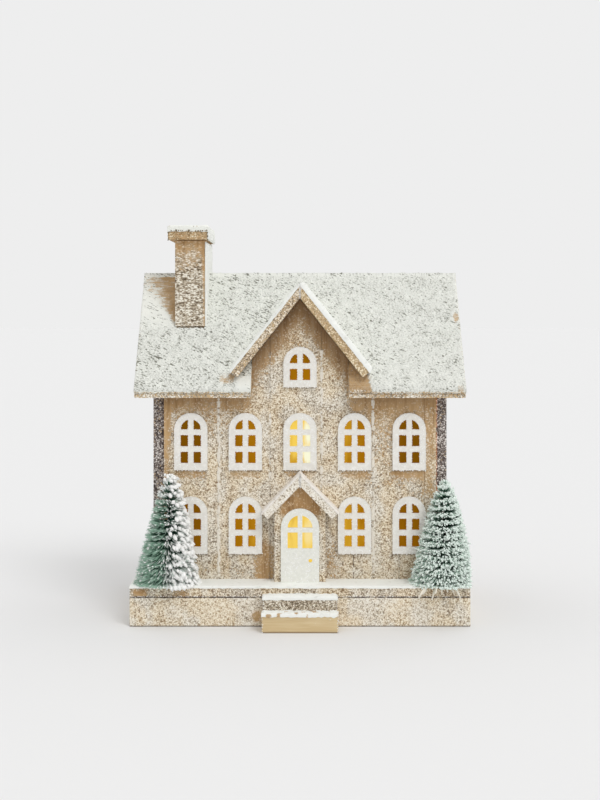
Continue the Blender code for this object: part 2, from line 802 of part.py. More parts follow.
def build_film():
    """One sheet of film behind the front wall, with a tab for the attic window."""
    wide = max(UPPER_COLUMNS) * WINDOW_PITCH + WINDOW_WIDTH / 2 + FILM_MARGIN
    narrow = WINDOW_WIDTH / 2 + FILM_MARGIN
    low = FLOOR_Z + DOOR_HOLE_RISE - FILM_MARGIN
    middle = UPPER_WINDOW_Z + window_height(PANE_ROW_COUNT) + FILM_MARGIN
    top = ATTIC_WINDOW_Z + window_height(ATTIC_ROW_COUNT) + FILM_MARGIN
    outline = [(-wide, low), (wide, low), (wide, middle), (narrow, middle),
               (narrow, top), (-narrow, top), (-narrow, middle), (-wide, middle)]
    front = WALL_FRONT + FRONT_THICKNESS + SEAT
    slab("window_film", outline, "Y", front, front + FILM_THICKNESS, "amber_film")


def build_porch():
    panel_front = WALL_FRONT - PORCH_PROUD
    back = WALL_FRONT - SEAT
    half = PORCH_WIDTH / 2
    slope = math.tan(PORCH_SLOPE)
    peak = PORCH_APEX - (ROOF_BOARD + SEAT) / math.cos(PORCH_SLOPE)
    outline = [(-half, FLOOR_Z), (half, FLOOR_Z), (half, peak - half * slope),
               (0.0, peak), (-half, peak - half * slope)]
    slab("porch_panel", outline, "Y", panel_front, back, "wood_sprayed", [door_hole()])
    for name, side in (("porch_roof_left", -1), ("porch_roof_right", 1)):
        soften(roof_board(name, side, PORCH_ROOF_WIDTH / 2, PORCH_APEX, PORCH_SLOPE,
                          panel_front - PORCH_OVERHANG, back, "wood_sprayed"))
    build_door(panel_front - SEAT - TRIM_THICKNESS)


def build_door(front):
    radius = DOOR_WIDTH / 2 - DOOR_SIDE
    spring = FLOOR_Z + DOOR_HEIGHT - DOOR_WIDTH / 2
    holes = arched_panes(0.0, spring, radius, DOOR_BAR)
    high = spring - DOOR_BAR
    holes += square_panes(0.0, high - DOOR_PANE, high, radius, DOOR_BAR)
    holes.append(circle(KNOB_X, FLOOR_Z + KNOB_RISE, KNOB_RADIUS, KNOB_STEPS))
    slab("door", arch(0.0, FLOOR_Z, DOOR_WIDTH, DOOR_HEIGHT), "Y",
         front, front + TRIM_THICKNESS, "white_paint", holes)


def build_stem(name, x, height, lean):
    """A twisted wire stem, its foot in the top board."""
    low = BASE_HEIGHT - STEM_SINK
    top = BASE_HEIGHT + height - BRUSH_CLEAR_TIP
    vertices = []
    rings = []
    for i in range(STEM_STEPS + 1):
        z = low + (top - low) * i / STEM_STEPS
        turn = math.pi * STEM_TURNS * i / STEM_STEPS
        shift = lean * max(z - BASE_HEIGHT, 0.0)
        rings.append(list(range(len(vertices), len(vertices) + STEM_SIDES)))
        for u, v in circle(0, 0, STEM_RADIUS, STEM_SIDES):
            v *= STEM_FLAT
            vertices.append((x + shift + u * math.cos(turn) - v * math.sin(turn),
                             TREE_Y + u * math.sin(turn) + v * math.cos(turn), z))
    faces = bridge_rings(rings)
    faces.append(tuple(reversed(rings[0])))
    faces.append(tuple(rings[-1]))
    add_object(name, vertices, faces, "steel_wire", smooth=True)


def strand_reach(foot, direction, wanted):
    """Length of a strand, short enough to stay off the house and inside the base's width."""
    length = wanted
    wall = TRIM_FRONT - STRAND_MARGIN
    if direction.y > 0:
        length = min(length, (wall - foot.y) / direction.y)
    side = BASE_WIDTH / 2 - STRAND_MARGIN
    if direction.x > 0:
        length = min(length, (side - foot.x) / direction.x)
    if direction.x < 0:
        length = min(length, (foot.x + side) / -direction.x)
    return length


def build_brush(name, x, height, lean):
    """Strands in rings, grown from the faces of a thin sleeve round the stem."""
    bore = STEM_RADIUS + SEAT
    outer = bore + BRUSH_WALL
    low = BASE_HEIGHT + BRUSH_CLEAR_FOOT
    top = BASE_HEIGHT + height - BRUSH_CLEAR_TIP
    pitch = (top - low) / BRUSH_RINGS
    chance = random.Random(name)
    vertices = []
    faces = []
    previous = None
    first = None
    for ring in range(BRUSH_RINGS):
        z = low + pitch * ring
        share = ring / (BRUSH_RINGS - 1)
        turn = (ring % 2) * math.pi / BRUSH_SIDES
        foot = sleeve_ring(vertices, x, lean, outer, z, turn)
        head = sleeve_ring(vertices, x, lean, outer, z + STRAND_FOOT, turn)
        if previous:
            faces += bridge_rings([previous, foot])
        first = first or foot
        previous = head
        for i in range(BRUSH_SIDES):
            j = (i + 1) % BRUSH_SIDES
            ragged = 1 - STRAND_RAGGED * chance.random()
            wanted = (TREE_RADIUS + (TREE_TOP_RADIUS - TREE_RADIUS) * share) * ragged
            tilt = STRAND_DROOP + (STRAND_TOP_RISE - STRAND_DROOP) * share ** 3
            add_strand(vertices, faces, (foot[i], foot[j], head[j], head[i]), wanted, tilt)
    last = sleeve_ring(vertices, x, lean, outer, top, 0.0)
    faces += bridge_rings([previous, last])
    inner_low = sleeve_ring(vertices, x, lean, bore, low, 0.0)
    inner_high = sleeve_ring(vertices, x, lean, bore, top, 0.0)
    faces += bridge_rings([last, inner_high, inner_low, first])
    add_object(name, vertices, faces, "brush_green")


def sleeve_ring(vertices, x, lean, radius, z, turn):
    """Add one ring of the sleeve and return its vertex numbers."""
    ring = list(range(len(vertices), len(vertices) + BRUSH_SIDES))
    shift = lean * (z - BASE_HEIGHT)
    for i in range(BRUSH_SIDES):
        angle = turn + 2 * math.pi * i / BRUSH_SIDES
        vertices.append((x + shift + radius * math.cos(angle),
                         TREE_Y + radius * math.sin(angle), z))
    return ring


def add_strand(vertices, faces, foot, wanted, tilt):
    """Draw one sleeve face out into a thin four-sided strand."""
    corners = [Vector(vertices[i]) for i in foot]
    middle = sum(corners, Vector()) / 4
    along = corners[1] - corners[0]
    outward = Vector((along.y, -along.x, 0)).normalized()
    direction = outward * math.cos(tilt) + Vector((0, 0, math.sin(tilt)))
    length = strand_reach(middle, direction, wanted)
    side = along.normalized() * STRAND_TIP / 2
    lift = direction.cross(side).normalized() * STRAND_TIP / 2
    if lift.z < 0:
        lift = -lift
    tip = middle + direction * length
    start = len(vertices)
    for offset in (-side - lift, side - lift, side + lift, -side + lift):
        vertices.append(tuple(tip + offset))
    ends = [start + i for i in range(4)]
    for i in range(4):
        j = (i + 1) % 4
        faces.append((foot[i], foot[j], ends[j], ends[i]))
    faces.append(tuple(ends))


def build_trees():
    trees = (("tree_left", TREE_LEFT_X, TREE_LEFT_HEIGHT, TREE_LEFT_LEAN),
             ("tree_right", TREE_RIGHT_X, TREE_RIGHT_HEIGHT, TREE_RIGHT_LEAN))
    for name, x, height, lean in trees:
        build_stem(f"{name}_stem", x, height, lean)
        build_brush(f"{name}_brush", x, height, lean)


def build_case():
    """The battery case: a bay for two cells and a chamber for the switch."""
    y0 = RIDGE_Y - CASE_HALF
    y1 = RIDGE_Y + CASE_HALF
    case = box("battery_case", CASE_LEFT, -CASE_LEFT, y0, y1, CASE_UNDER, CASE_TOP,
               "case_plastic")
    ear = EAR_SIZE / 2
    fuse(case, box("ears", -ear, ear, y0 - EAR_SIZE, y1 + EAR_SIZE,
                   CASE_TOP - EAR_THICKNESS, CASE_TOP))
    b0 = RIDGE_Y - BAY_HALF
    b1 = RIDGE_Y + BAY_HALF
    cut(case, box("bay", BAY_LEFT, BAY_RIGHT, b0, b1, CASE_UNDER - SEAT, BAY_TOP))
    cut(case, box("lid_way", CASE_LEFT - SEAT, BAY_RIGHT, b0 - LID_GROOVE, b1 + LID_GROOVE,
                  LID_UNDER - SEAT, LID_TOP + SEAT))
    cut(case, box("lid_mouth", CASE_LEFT - SEAT, BAY_LEFT + SEAT, b0, b1,
                  CASE_UNDER - SEAT, LID_TOP + SEAT))
    cut(case, box("chamber", CHAMBER_LEFT, CHAMBER_LEFT + CHAMBER_LENGTH, b0, b1,
                  CHAMBER_FLOOR, CASE_TOP + SEAT))
    for y in (CELL_A_Y, CELL_B_Y):
        half = CONTACT_WIDTH / 2 + SEAT
        cut(case, box("tab_slot", BAY_RIGHT - SEAT, CHAMBER_LEFT + SEAT, y - half, y + half,
                      TAB_TOP - CONTACT_THICKNESS - SEAT, TAB_TOP + SEAT))
    half_x = SLIDER_SIZE / 2 + SEAT
    half_y = (SLIDER_SIZE + SWITCH_TRAVEL) / 2 + SEAT
    cut(case, box("slider_slot", CHAMBER_X - half_x, CHAMBER_X + half_x,
                  RIDGE_Y - half_y, RIDGE_Y + half_y,
                  CASE_UNDER - SEAT, CHAMBER_FLOOR + SEAT))
    for y in SCREW_PLACES:
        drill(case, 0, y, SCREW_RADIUS + SEAT, CASE_TOP - EAR_THICKNESS - SEAT, CASE_TOP + SEAT)


def build_lid():
    """The sliding lid, with grip bars on its outside."""
    half = BAY_HALF + LID_GROOVE - SEAT
    lid = box("battery_lid", CASE_LEFT, BAY_RIGHT - SEAT, RIDGE_Y - half, RIDGE_Y + half,
              LID_UNDER, LID_TOP, "case_plastic")
    for i in range(GRIP_COUNT):
        x = CASE_LEFT + GRIP_INSET + i * GRIP_PITCH
        fuse(lid, box("grip", x, x + GRIP_WIDTH,
                      RIDGE_Y - GRIP_LENGTH / 2, RIDGE_Y + GRIP_LENGTH / 2,
                      LID_UNDER - GRIP_HEIGHT, LID_UNDER + LID_THICKNESS / 2))
    set_origin(lid, (BAY_LEFT, RIDGE_Y, LID_TOP))


def build_cell(name, x, y, direction):
    """A cell with its flat end at x and its nub towards the direction."""
    radius = CELL_DIAMETER / 2
    shoulder = CELL_LENGTH - NUB_HEIGHT
    profile = [(0, 0), (radius - CELL_CHAMFER, 0), (radius, CELL_CHAMFER),
               (radius, shoulder - CELL_CHAMFER), (radius - CELL_CHAMFER, shoulder),
               (NUB_RADIUS, shoulder), (NUB_RADIUS, CELL_LENGTH), (0, CELL_LENGTH)]
    turned(name, profile, (x, y, CELL_Z), (direction, 0, 0), "cell_wrap")


def build_cells():
    flat_end = PLATE_ROOM + SPRING_LENGTH + SEAT
    build_cell("cell_a", BAY_LEFT + flat_end, CELL_A_Y, 1)
    build_cell("cell_b", BAY_RIGHT - flat_end, CELL_B_Y, -1)


def build_contacts():
    """A bridge plate at the left end and two tabbed plates at the right end."""
    bottom = TAB_TOP - CONTACT_HEIGHT
    left = BAY_LEFT + SEAT
    half = (CELL_SPACING + CONTACT_WIDTH) / 2
    box("contact_bridge", left, left + CONTACT_THICKNESS, RIDGE_Y - half, RIDGE_Y + half,
        bottom, TAB_TOP, "contact_metal")
    inner = BAY_RIGHT - SEAT - CONTACT_THICKNESS
    outline = [(inner, bottom), (BAY_RIGHT - SEAT, bottom),
               (BAY_RIGHT - SEAT, TAB_TOP - CONTACT_THICKNESS),
               (BAY_RIGHT + TAB_REACH, TAB_TOP - CONTACT_THICKNESS),
               (BAY_RIGHT + TAB_REACH, TAB_TOP), (inner, TAB_TOP)]
    for name, y in (("contact_positive", CELL_A_Y), ("contact_negative", CELL_B_Y)):
        slab(name, outline, "Y", y - CONTACT_WIDTH / 2, y + CONTACT_WIDTH / 2,
             "contact_metal")


def build_spring(name, x, y, direction):
    """A cone of spring wire that stands on a plate at x."""
    steps = SPRING_TURNS * SPRING_STEPS
    low = SPRING_WIRE + SPRING_CLEAR
    path = []
    for i in range(steps + 1):
        share = i / steps
        angle = 2 * math.pi * SPRING_TURNS * share
        radius = SPRING_RADIUS - SPRING_TAPER * share
        along = low + (SPRING_LENGTH - 2 * low) * share
        path.append((x + direction * along, y + radius * math.cos(angle),
                     CELL_Z + radius * math.sin(angle)))
    coil_wire(name, path, SPRING_WIRE, "contact_metal")


def build_screws():
    """Pan-head screws with a cross in the head."""
    under = CASE_TOP - EAR_THICKNESS - SEAT
    length = EAR_THICKNESS + 2 * SEAT + SCREW_BITE
    profile = [(0, -SCREW_HEAD_HEIGHT), (SCREW_HEAD_RIM, -SCREW_HEAD_HEIGHT),
               (SCREW_HEAD_RADIUS, -SCREW_HEAD_HEIGHT / 2), (SCREW_HEAD_RADIUS, 0),
               (SCREW_RADIUS, 0), (SCREW_RADIUS, length - SCREW_TIP), (0, length)]
    for i, y in enumerate(SCREW_PLACES):
        screw = turned(f"case_screw_{i + 1}", profile, (0, y, under), (0, 0, 1),
                       "steel_wire", SMALL_ROUND_STEPS)
        low = under - SCREW_HEAD_HEIGHT
        for x_half, y_half in ((SCREW_CROSS_REACH, SCREW_CROSS / 2),
                               (SCREW_CROSS / 2, SCREW_CROSS_REACH)):
            cut(screw, box("cross", -x_half, x_half, y - y_half, y + y_half,
                           low - SEAT, low + SCREW_CROSS_DEPTH))


def build_switch():
    box("switch_body", CHAMBER_X - SWITCH_WIDTH / 2, CHAMBER_X + SWITCH_WIDTH / 2,
        RIDGE_Y - SWITCH_LENGTH / 2, RIDGE_Y + SWITCH_LENGTH / 2,
        SWITCH_LOW, SWITCH_LOW + SWITCH_HEIGHT, "steel_wire")
    y = RIDGE_Y - SWITCH_TRAVEL / 2
    slider = box("switch_slider", CHAMBER_X - SLIDER_PLATE_X / 2, CHAMBER_X + SLIDER_PLATE_X / 2,
                 y - SLIDER_PLATE_Y / 2, y + SLIDER_PLATE_Y / 2,
                 SLIDER_LOW, SLIDER_LOW + SLIDER_PLATE_Z, "case_plastic")
    half = SLIDER_SIZE / 2
    fuse(slider, box("stem", CHAMBER_X - half, CHAMBER_X + half, y - half, y + half,
                     CASE_UNDER - SLIDER_PROUD, SLIDER_LOW + SLIDER_PLATE_Z / 2))
    set_origin(slider, (CHAMBER_X, y, SLIDER_LOW))


def build_lamp_post():
    """A post on a foot, with a hole for each LED."""
    half = POST_WIDTH / 2
    foot_top = FLOOR_Z + POST_FOOT_THICKNESS
    top = LED_HIGH_Z + LED_RADIUS + POST_TOP_MARGIN
    holes = [circle(POST_X, z, LED_RADIUS + SEAT, SMALL_ROUND_STEPS)
             for z in (LED_LOW_Z, LED_HIGH_Z)]
    outline = rectangle(POST_X - half, POST_X + half, foot_top - SEAT, top)
    post = slab("lamp_post", outline, "Y", POST_Y, POST_BACK, "case_plastic", holes)
    foot_half = POST_FOOT_WIDTH / 2
    fuse(post, box("foot", POST_X - foot_half, POST_X + foot_half,
                   POST_BACK - POST_FOOT_DEPTH, POST_BACK, FLOOR_Z, foot_top))


def build_led(name, z):
    """A round LED with a dome, a flange behind the post and two legs."""
    profile = [(0, -LED_FLANGE), (LED_FLANGE_RADIUS, -LED_FLANGE), (LED_FLANGE_RADIUS, 0),
               (LED_RADIUS, 0)]
    straight = LED_LENGTH - LED_RADIUS
    for i in range(LED_DOME_STEPS):
        angle = math.pi / 2 * i / LED_DOME_STEPS
        profile.append((LED_RADIUS * math.cos(angle), straight + LED_RADIUS * math.sin(angle)))
    profile.append((0, LED_LENGTH))
    seat = POST_BACK + SEAT
    led = turned(name, profile, (POST_X, seat, z), (0, -1, 0), "led_lens", SMALL_ROUND_STEPS)
    half = LED_LEG / 2
    for side in (-1, 1):
        x = POST_X + side * LED_LEG_PITCH / 2
        fuse(led, box("leg", x - half, x + half, seat + LED_FLANGE / 2,
                      seat + LED_FLANGE + LED_LEG_LENGTH, z - half, z + half))


def build_leads():
    """Both leads rise through the top board and run up behind the LEDs."""
    run_y = POST_BACK + SEAT + LED_FLANGE + LED_LEG_LENGTH + SEAT + LEAD_RADIUS
    over_board = BASE_HEIGHT + LEAD_LIFT
    over_tab = TAB_TOP + SEAT + LEAD_RADIUS
    over_switch = SWITCH_LOW + SWITCH_HEIGHT + SEAT
    top = LED_HIGH_Z + LED_LEG
    spread = LED_LEG_PITCH / 2
    starts = {
        "lead_positive": (1, [(CHAMBER_X, CELL_A_Y, over_tab)]),
        "lead_negative": (-1, [(CHAMBER_X, RIDGE_Y + spread, over_switch)]),
    }
    for name, (side, corners) in starts.items():
        hole_y = RIDGE_Y - side * spread
        column = POST_X + side * spread
        turn = LEAD_LIFT + BASE_HEIGHT + (LED_LOW_Z - BASE_HEIGHT) / 3
        corners += [(CHAMBER_X, hole_y, BOARD_UNDER), (CHAMBER_X, hole_y, BASE_HEIGHT),
                    ((CHAMBER_X + column) / 2, (hole_y + run_y) / 2, over_board),
                    (column, run_y, turn), (column, run_y, LED_LOW_Z), (column, run_y, top)]
        lead(name, corners, "lead_red" if side > 0 else "lead_black")
    y = RIDGE_Y + SWITCH_LENGTH / 2 - 2 * LEAD_RADIUS
    lead("lead_jumper", [(CHAMBER_X, CELL_B_Y + CONTACT_WIDTH / 4, over_tab),
                         (CHAMBER_X, y, (over_tab + over_switch) / 2),
                         (CHAMBER_X, y, over_switch)], "lead_black")


def main():
    clear_scene()
    build_base()
    build_steps()
    build_front_wall()
    build_other_walls()
    build_main_roof()
    build_gable_roof()
    build_chimney()
    for window in window_places():
        build_window(*window)
    build_film()
    build_porch()
    build_trees()
    build_case()
    build_lid()
    build_cells()
    build_contacts()
    build_spring("spring_bridge", BAY_LEFT + PLATE_ROOM, CELL_A_Y, 1)
    build_spring("spring_negative", BAY_RIGHT - PLATE_ROOM, CELL_B_Y, -1)
    build_screws()
    build_switch()
    build_lamp_post()
    build_led("led_lower", LED_LOW_Z)
    build_led("led_upper", LED_HIGH_Z)
    build_leads()


main()
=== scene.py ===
"""Looks for the light-up christmas village house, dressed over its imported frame.

Metres, +Z up, the front faces -Y, as in the frame.
"""
import collections
import contextlib
import itertools
import math
import random
from functools import partial

import bpy
import numpy as np
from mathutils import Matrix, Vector
from mathutils.bvhtree import BVHTree


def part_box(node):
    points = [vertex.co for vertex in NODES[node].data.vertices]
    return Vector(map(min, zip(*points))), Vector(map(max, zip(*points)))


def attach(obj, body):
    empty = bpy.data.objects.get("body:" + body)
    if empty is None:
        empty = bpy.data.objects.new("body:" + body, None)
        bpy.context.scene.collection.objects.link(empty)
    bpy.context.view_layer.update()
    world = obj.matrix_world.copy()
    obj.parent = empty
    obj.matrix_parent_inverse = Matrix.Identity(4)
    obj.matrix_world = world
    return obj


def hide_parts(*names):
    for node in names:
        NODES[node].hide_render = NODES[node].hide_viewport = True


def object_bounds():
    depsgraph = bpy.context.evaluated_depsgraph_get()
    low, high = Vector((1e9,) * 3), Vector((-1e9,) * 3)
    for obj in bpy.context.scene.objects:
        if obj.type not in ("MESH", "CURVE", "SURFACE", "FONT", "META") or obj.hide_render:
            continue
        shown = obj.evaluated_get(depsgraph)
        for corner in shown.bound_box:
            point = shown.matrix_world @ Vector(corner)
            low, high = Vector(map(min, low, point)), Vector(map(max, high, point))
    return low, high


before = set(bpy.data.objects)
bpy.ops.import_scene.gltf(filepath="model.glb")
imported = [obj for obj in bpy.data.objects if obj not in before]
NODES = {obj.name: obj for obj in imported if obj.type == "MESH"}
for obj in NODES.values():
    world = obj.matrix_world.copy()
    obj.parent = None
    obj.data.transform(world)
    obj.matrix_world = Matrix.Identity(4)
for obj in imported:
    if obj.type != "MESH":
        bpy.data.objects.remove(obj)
CAD_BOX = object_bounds()
WINDOWS = [name for name in NODES if name.startswith("window_") and name != "window_film"]

# Camera: the lens, and how far its axis lies above the middle of the picture
CAMERA_PLACE = (0.0, -1.0185, 0.236)
CAMERA_LENS = 58.5
CAMERA_SHIFT = -0.119

# Light: strength, spread, turn from the front and height of each lamp, in degrees
SKY_STRENGTH = 0.58
LAMPS = {
    "key": (0.95, 26, 33, 46),
    "top": (0.80, 90, 150, 78),
}
FLOOR_SIZE = 24.0
FLOOR_SHADE = 0.8206

# Slopes of the roofs, the snow coat's thickness and half the width of the roof's notch
ROOF_SLOPE = math.radians(52.0)
RAKE_SLOPE = math.radians(51.5)
PORCH_SLOPE = math.radians(45.6)
ROOF_COAT = 0.0052
ROOF_SNOW = 0.0014
PAST_EAVE = 0.0022
GABLE_HALF = 0.0363
GABLE_FADE = (0.034, 0.040)
RAKE_APEX = 0.2400
EAVE_HEIGHT = 0.1815
PLANK_END_HEIGHT = 0.2534

# Sizes of the patterns in wood, spray and snow
BAND_SIZE = 0.005
FIBRE_SIZE = 0.0009
WOOD_PATCH_SIZE = 0.03
SPRAY_SIZE = 0.00104
COARSE_SPRAY_SIZE = 0.0013
BOARD_SPRAY_SIZE = 0.0011
CLOUD_SIZE = 0.015
TINT_SIZE = 0.020
RAGGED_SIZE = 0.005
GRIT_SIZE = 0.0009
DASH_SIZE = 0.00125
DASH_TURN = math.radians(-20)
KNOB_SIZE = 0.0014
KNOB_TURN = math.radians(-22)

# Layers of snow: distance between points, mean thickness and height of the lumps
Layer = collections.namedtuple("Layer", "step thick rough")
FRONT_ROOF_LAYER = Layer(0.0005, 0.0014, 0.0017)
BACK_ROOF_LAYER = Layer(0.0008, 0.0014, 0.0017)
GROOVE_LAYER = Layer(0.0004, 0.0003, 0.0005)
BASE_LAYER = Layer(0.0009, 0.0009, 0.0008)
STEP_LAYER = Layer(0.0006, 0.0012, 0.0014)
CHIMNEY_LAYER = Layer(0.0006, 0.0008, 0.0010)
CAP_LAYER = Layer(0.0005, 0.0015, 0.0014)

# Snow in the front wall's grooves: the groove's place and how full it is
GROOVES = {-0.0612: 0.52, -0.0226: 0.34, 0.0162: 0.54, 0.0549: 0.50}
GROOVE_WIDTH = 0.0026
GROOVE_TOP = 0.1680
GROOVE_GABLE_TOP = 0.2100
GROOVE_FOOT = 0.0310
PORCH_HALF = 0.03
TREAD = 0.0096

# Patches where wood shows: how much, left, right, foot, top and softness
BARE_WALL = {
    "foot": (0.18, -0.11, 0.11, 0.02, 0.05, 0.014),
    "middle": (-0.20, -0.05, 0.04, 0.10, 0.17, 0.02),
    "right_part": (0.22, 0.0500, 0.1200, 0.08, 0.20, 0.02),
    "left_edge": (0.90, -0.1030, -0.0985, 0.06, 0.20, 0.0034),
    "right_edge": (0.42, 0.0950, 0.1010, 0.09, 0.150, 0.0046),
    "left_of_porch": (0.88, -0.0330, -0.0205, 0.024, 0.058, 0.0066),
    "right_of_porch": (0.32, 0.0200, 0.0300, 0.029, 0.060, 0.006),
}
BARE_BOARD = {
    "left_end": (1.2, -0.1225, -0.1120, 0.0225, 0.0268, 0.0030),
    "by_left_tree": (0.7, -0.0900, -0.0820, 0.0225, 0.0262, 0.003),
}
BARE_RAIL = {"left_of_steps": (1.7, -0.0346, -0.0290, 0.0040, 0.0112, 0.0040)}
# Wood shows on the porch panel over its door, painted there as the porch roof's shade
BARE_AND_SHADED_PORCH = {"over_door": (1.0, -0.0150, 0.0150, 0.079, 0.110, 0.003)}
WALL_CRACKS = {
    "by_door": (0.8, 0.0399, 0.0405, 0.030, 0.0487, 0.0002),
    "by_right_tree": (0.7, 0.0742, 0.0748, 0.029, 0.047, 0.0002),
}
LIGHT_LEAK = (0.1024, 0.1035, 0.085, 0.195, 0.0002)

# Wood under the eaves and rakes: how much, and the distances where it starts and is full
EAVE_FADES = ((0.56, 0.031, 0.015), (0.46, 0.070, 0.018))
RAKE_FADES = ((0.55, 0.052, 0.004), (0.58, 0.025, 0.002))

# Thin and smooth spots in the front roof's snow: place, half width and half height
THIN_AND_SHADED_SPOTS = (
    # These two, below the left rake's tip, also paint that tip's shadow as wood
    (0.50, (-0.0550, 0.1805, 0.0085, 0.0060)),
    (0.62, (-0.0515, 0.1822, 0.0040, 0.0036)),
    (0.58, (0.1205, 0.2260, 0.0030, 0.0055)),
    (0.45, (0.1200, 0.1730, 0.0035, 0.0060)),
)
SMOOTH_SPOT = (-0.0424, 0.1760, 0.0066, 0.0080)

# Glow on the film: reach of each LED, then place, half size and strength of bright spots
LED_REACH = {"led_lower": 0.034, "led_upper": 0.0288}
HOT_SPOTS = ((0.0068, 0.1395, 0.0062, 0.0120, 1.0), (0.0066, 0.1230, 0.0062, 0.0115, 1.0),
             (0.0066, 0.0640, 0.0052, 0.0130, 0.36), (-0.0060, 0.0600, 0.0050, 0.0120, 0.03))

# The trees: rows, reach, thickness and number of bristles, and the base's front edge
BRUSH_PITCH = 0.0042
BRUSH_RADIUS = 0.0215
BRUSH_TIP_RADIUS = 0.0046
BRISTLE_RADIUS = 0.00021
STRAW_RADIUS = 0.00068
STRAW_COUNT = 8
GOLDEN_ANGLE = 2.39996
LEFT_BRISTLES = 7600
RIGHT_BRISTLES = 7800
BASE_EDGE_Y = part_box("base_top")[0].y


def srgb(red, green, blue):
    """A linear colour from the 0 to 255 values that a picture shows."""
    linear = []
    for value in (red, green, blue):
        share = value / 255
        linear.append(share / 12.92 if share <= 0.04045 else ((share + 0.055) / 1.055) ** 2.4)
    return (*linear, 1.0)


BACKGROUND = srgb(238, 238, 238)
# Snow, and the darker pit tones that paint shade into its hollows
SNOW = srgb(241, 242, 235)
SNOW_PIT = srgb(122, 122, 109)
CLEAN_SNOW = srgb(247, 248, 243)
CLEAN_PIT = srgb(214, 214, 206)
WOOD_DUST = srgb(196, 172, 138)
# The dark of cracks and joints, also mixed in as painted shadow under eaves, rakes, sills and board
# feet
CRACK_AND_SHADOW = srgb(70, 48, 34)
LEAK_COLOUR = srgb(172, 96, 14)
FILM_DARK = srgb(122, 78, 4)
FILM_HOT = srgb(255, 254, 222)

# Wood, from its dark bands to its light ones
WOOD = (srgb(152, 116, 74), srgb(196, 160, 114), srgb(220, 190, 148))
WOOD_PALE = (srgb(172, 138, 94), srgb(206, 176, 132), srgb(226, 202, 162))
WOOD_STEP = (srgb(192, 162, 114), srgb(214, 190, 146), srgb(228, 208, 168))
WOOD_PORCH = (srgb(136, 102, 64), srgb(178, 140, 94), srgb(204, 170, 124))
WOOD_GREY = (srgb(84, 72, 68), srgb(128, 114, 106), srgb(156, 140, 128))

# Sprayed grains, from the pits between them, partly painted shade, to the brightest
SPRAY = (srgb(136, 110, 80), srgb(218, 198, 166), srgb(252, 243, 224))
SPRAY_COOL = (srgb(130, 114, 94), srgb(216, 204, 184), srgb(252, 247, 236))
SPRAY_GREY = (srgb(66, 56, 54), srgb(124, 112, 106), srgb(246, 240, 234))
SPRAY_DARK = (srgb(94, 80, 62), srgb(184, 168, 144), srgb(250, 245, 232))
SPRAY_GOLD = (srgb(146, 118, 82), srgb(214, 190, 150), srgb(250, 238, 212))
SPRAY_MIXED = (srgb(92, 78, 66), srgb(200, 178, 146), srgb(252, 242, 224))
SPRAY_WARM = srgb(216, 182, 138)

# Boards of the two small roofs: fullness and colours of the spray, thickness of the snow
SMALL_ROOFS = {
    "gable_roof_left": (0.86, SPRAY_MIXED, 0.0014),
    "gable_roof_right": (0.66, SPRAY_GOLD, 0.0034),
    "porch_roof_left": (1.3, SPRAY_COOL, 0.0004),
    "porch_roof_right": (1.3, SPRAY_COOL, 0.0006),
}

# Looks of the small parts: both tones, size of the pattern, roughness, metallic, nodes
SMALL_PARTS = {
    "case_plastic": ((38, 38, 38), (50, 50, 50), 0.0004, 0.55, 0.0,
                     ("battery_case", "battery_lid", "switch_slider", "lamp_post")),
    "steel": ((150, 150, 148), (178, 178, 174), 0.0012, 0.35, 1.0,
              ("switch_body", "tree_left_stem", "tree_right_stem", "case_screw_1",
               "case_screw_2")),
    "contact": ((176, 172, 160), (200, 196, 184), 0.001, 0.3, 1.0,
                ("contact_bridge", "contact_positive", "contact_negative", "spring_bridge",
                 "spring_negative")),
    "cell_wrap": ((32, 60, 78), (40, 74, 94), 0.003, 0.35, 0.0, ("cell_a", "cell_b")),
    "lead_red": ((150, 26, 22), (172, 38, 32), 0.002, 0.5, 0.0, ("lead_positive",)),
    "lead_black": ((24, 24, 24), (38, 38, 38), 0.002, 0.5, 0.0, ("lead_negative",)),
    "lead_black_short": ((24, 24, 24), (38, 38, 38), 0.002, 0.5, 0.0, ("lead_jumper",)),
    "led": ((236, 214, 150), (250, 232, 180), 0.002, 0.2, 0.0, ("led_lower",)),
    "led_top": ((236, 214, 150), (250, 232, 180), 0.002, 0.2, 0.0, ("led_upper",)),
}


class Field:
    """A value that varies over a surface: the output of a shader node."""

    def __init__(self, shade, socket):
        self.shade = shade
        self.socket = socket

    def __add__(self, other):
        return self.shade.math("ADD", self, other)

    def __sub__(self, other):
        return self.shade.math("SUBTRACT", self, other)

    def __mul__(self, other):
        return self.shade.math("MULTIPLY", self, other)

    def __truediv__(self, other):
        return self.shade.math("DIVIDE", self, other)

    def __radd__(self, other):
        return self.shade.math("ADD", other, self)

    def __rsub__(self, other):
        return self.shade.math("SUBTRACT", other, self)

    def __rmul__(self, other):
        return self.shade.math("MULTIPLY", other, self)

    def __rtruediv__(self, other):
        return self.shade.math("DIVIDE", other, self)


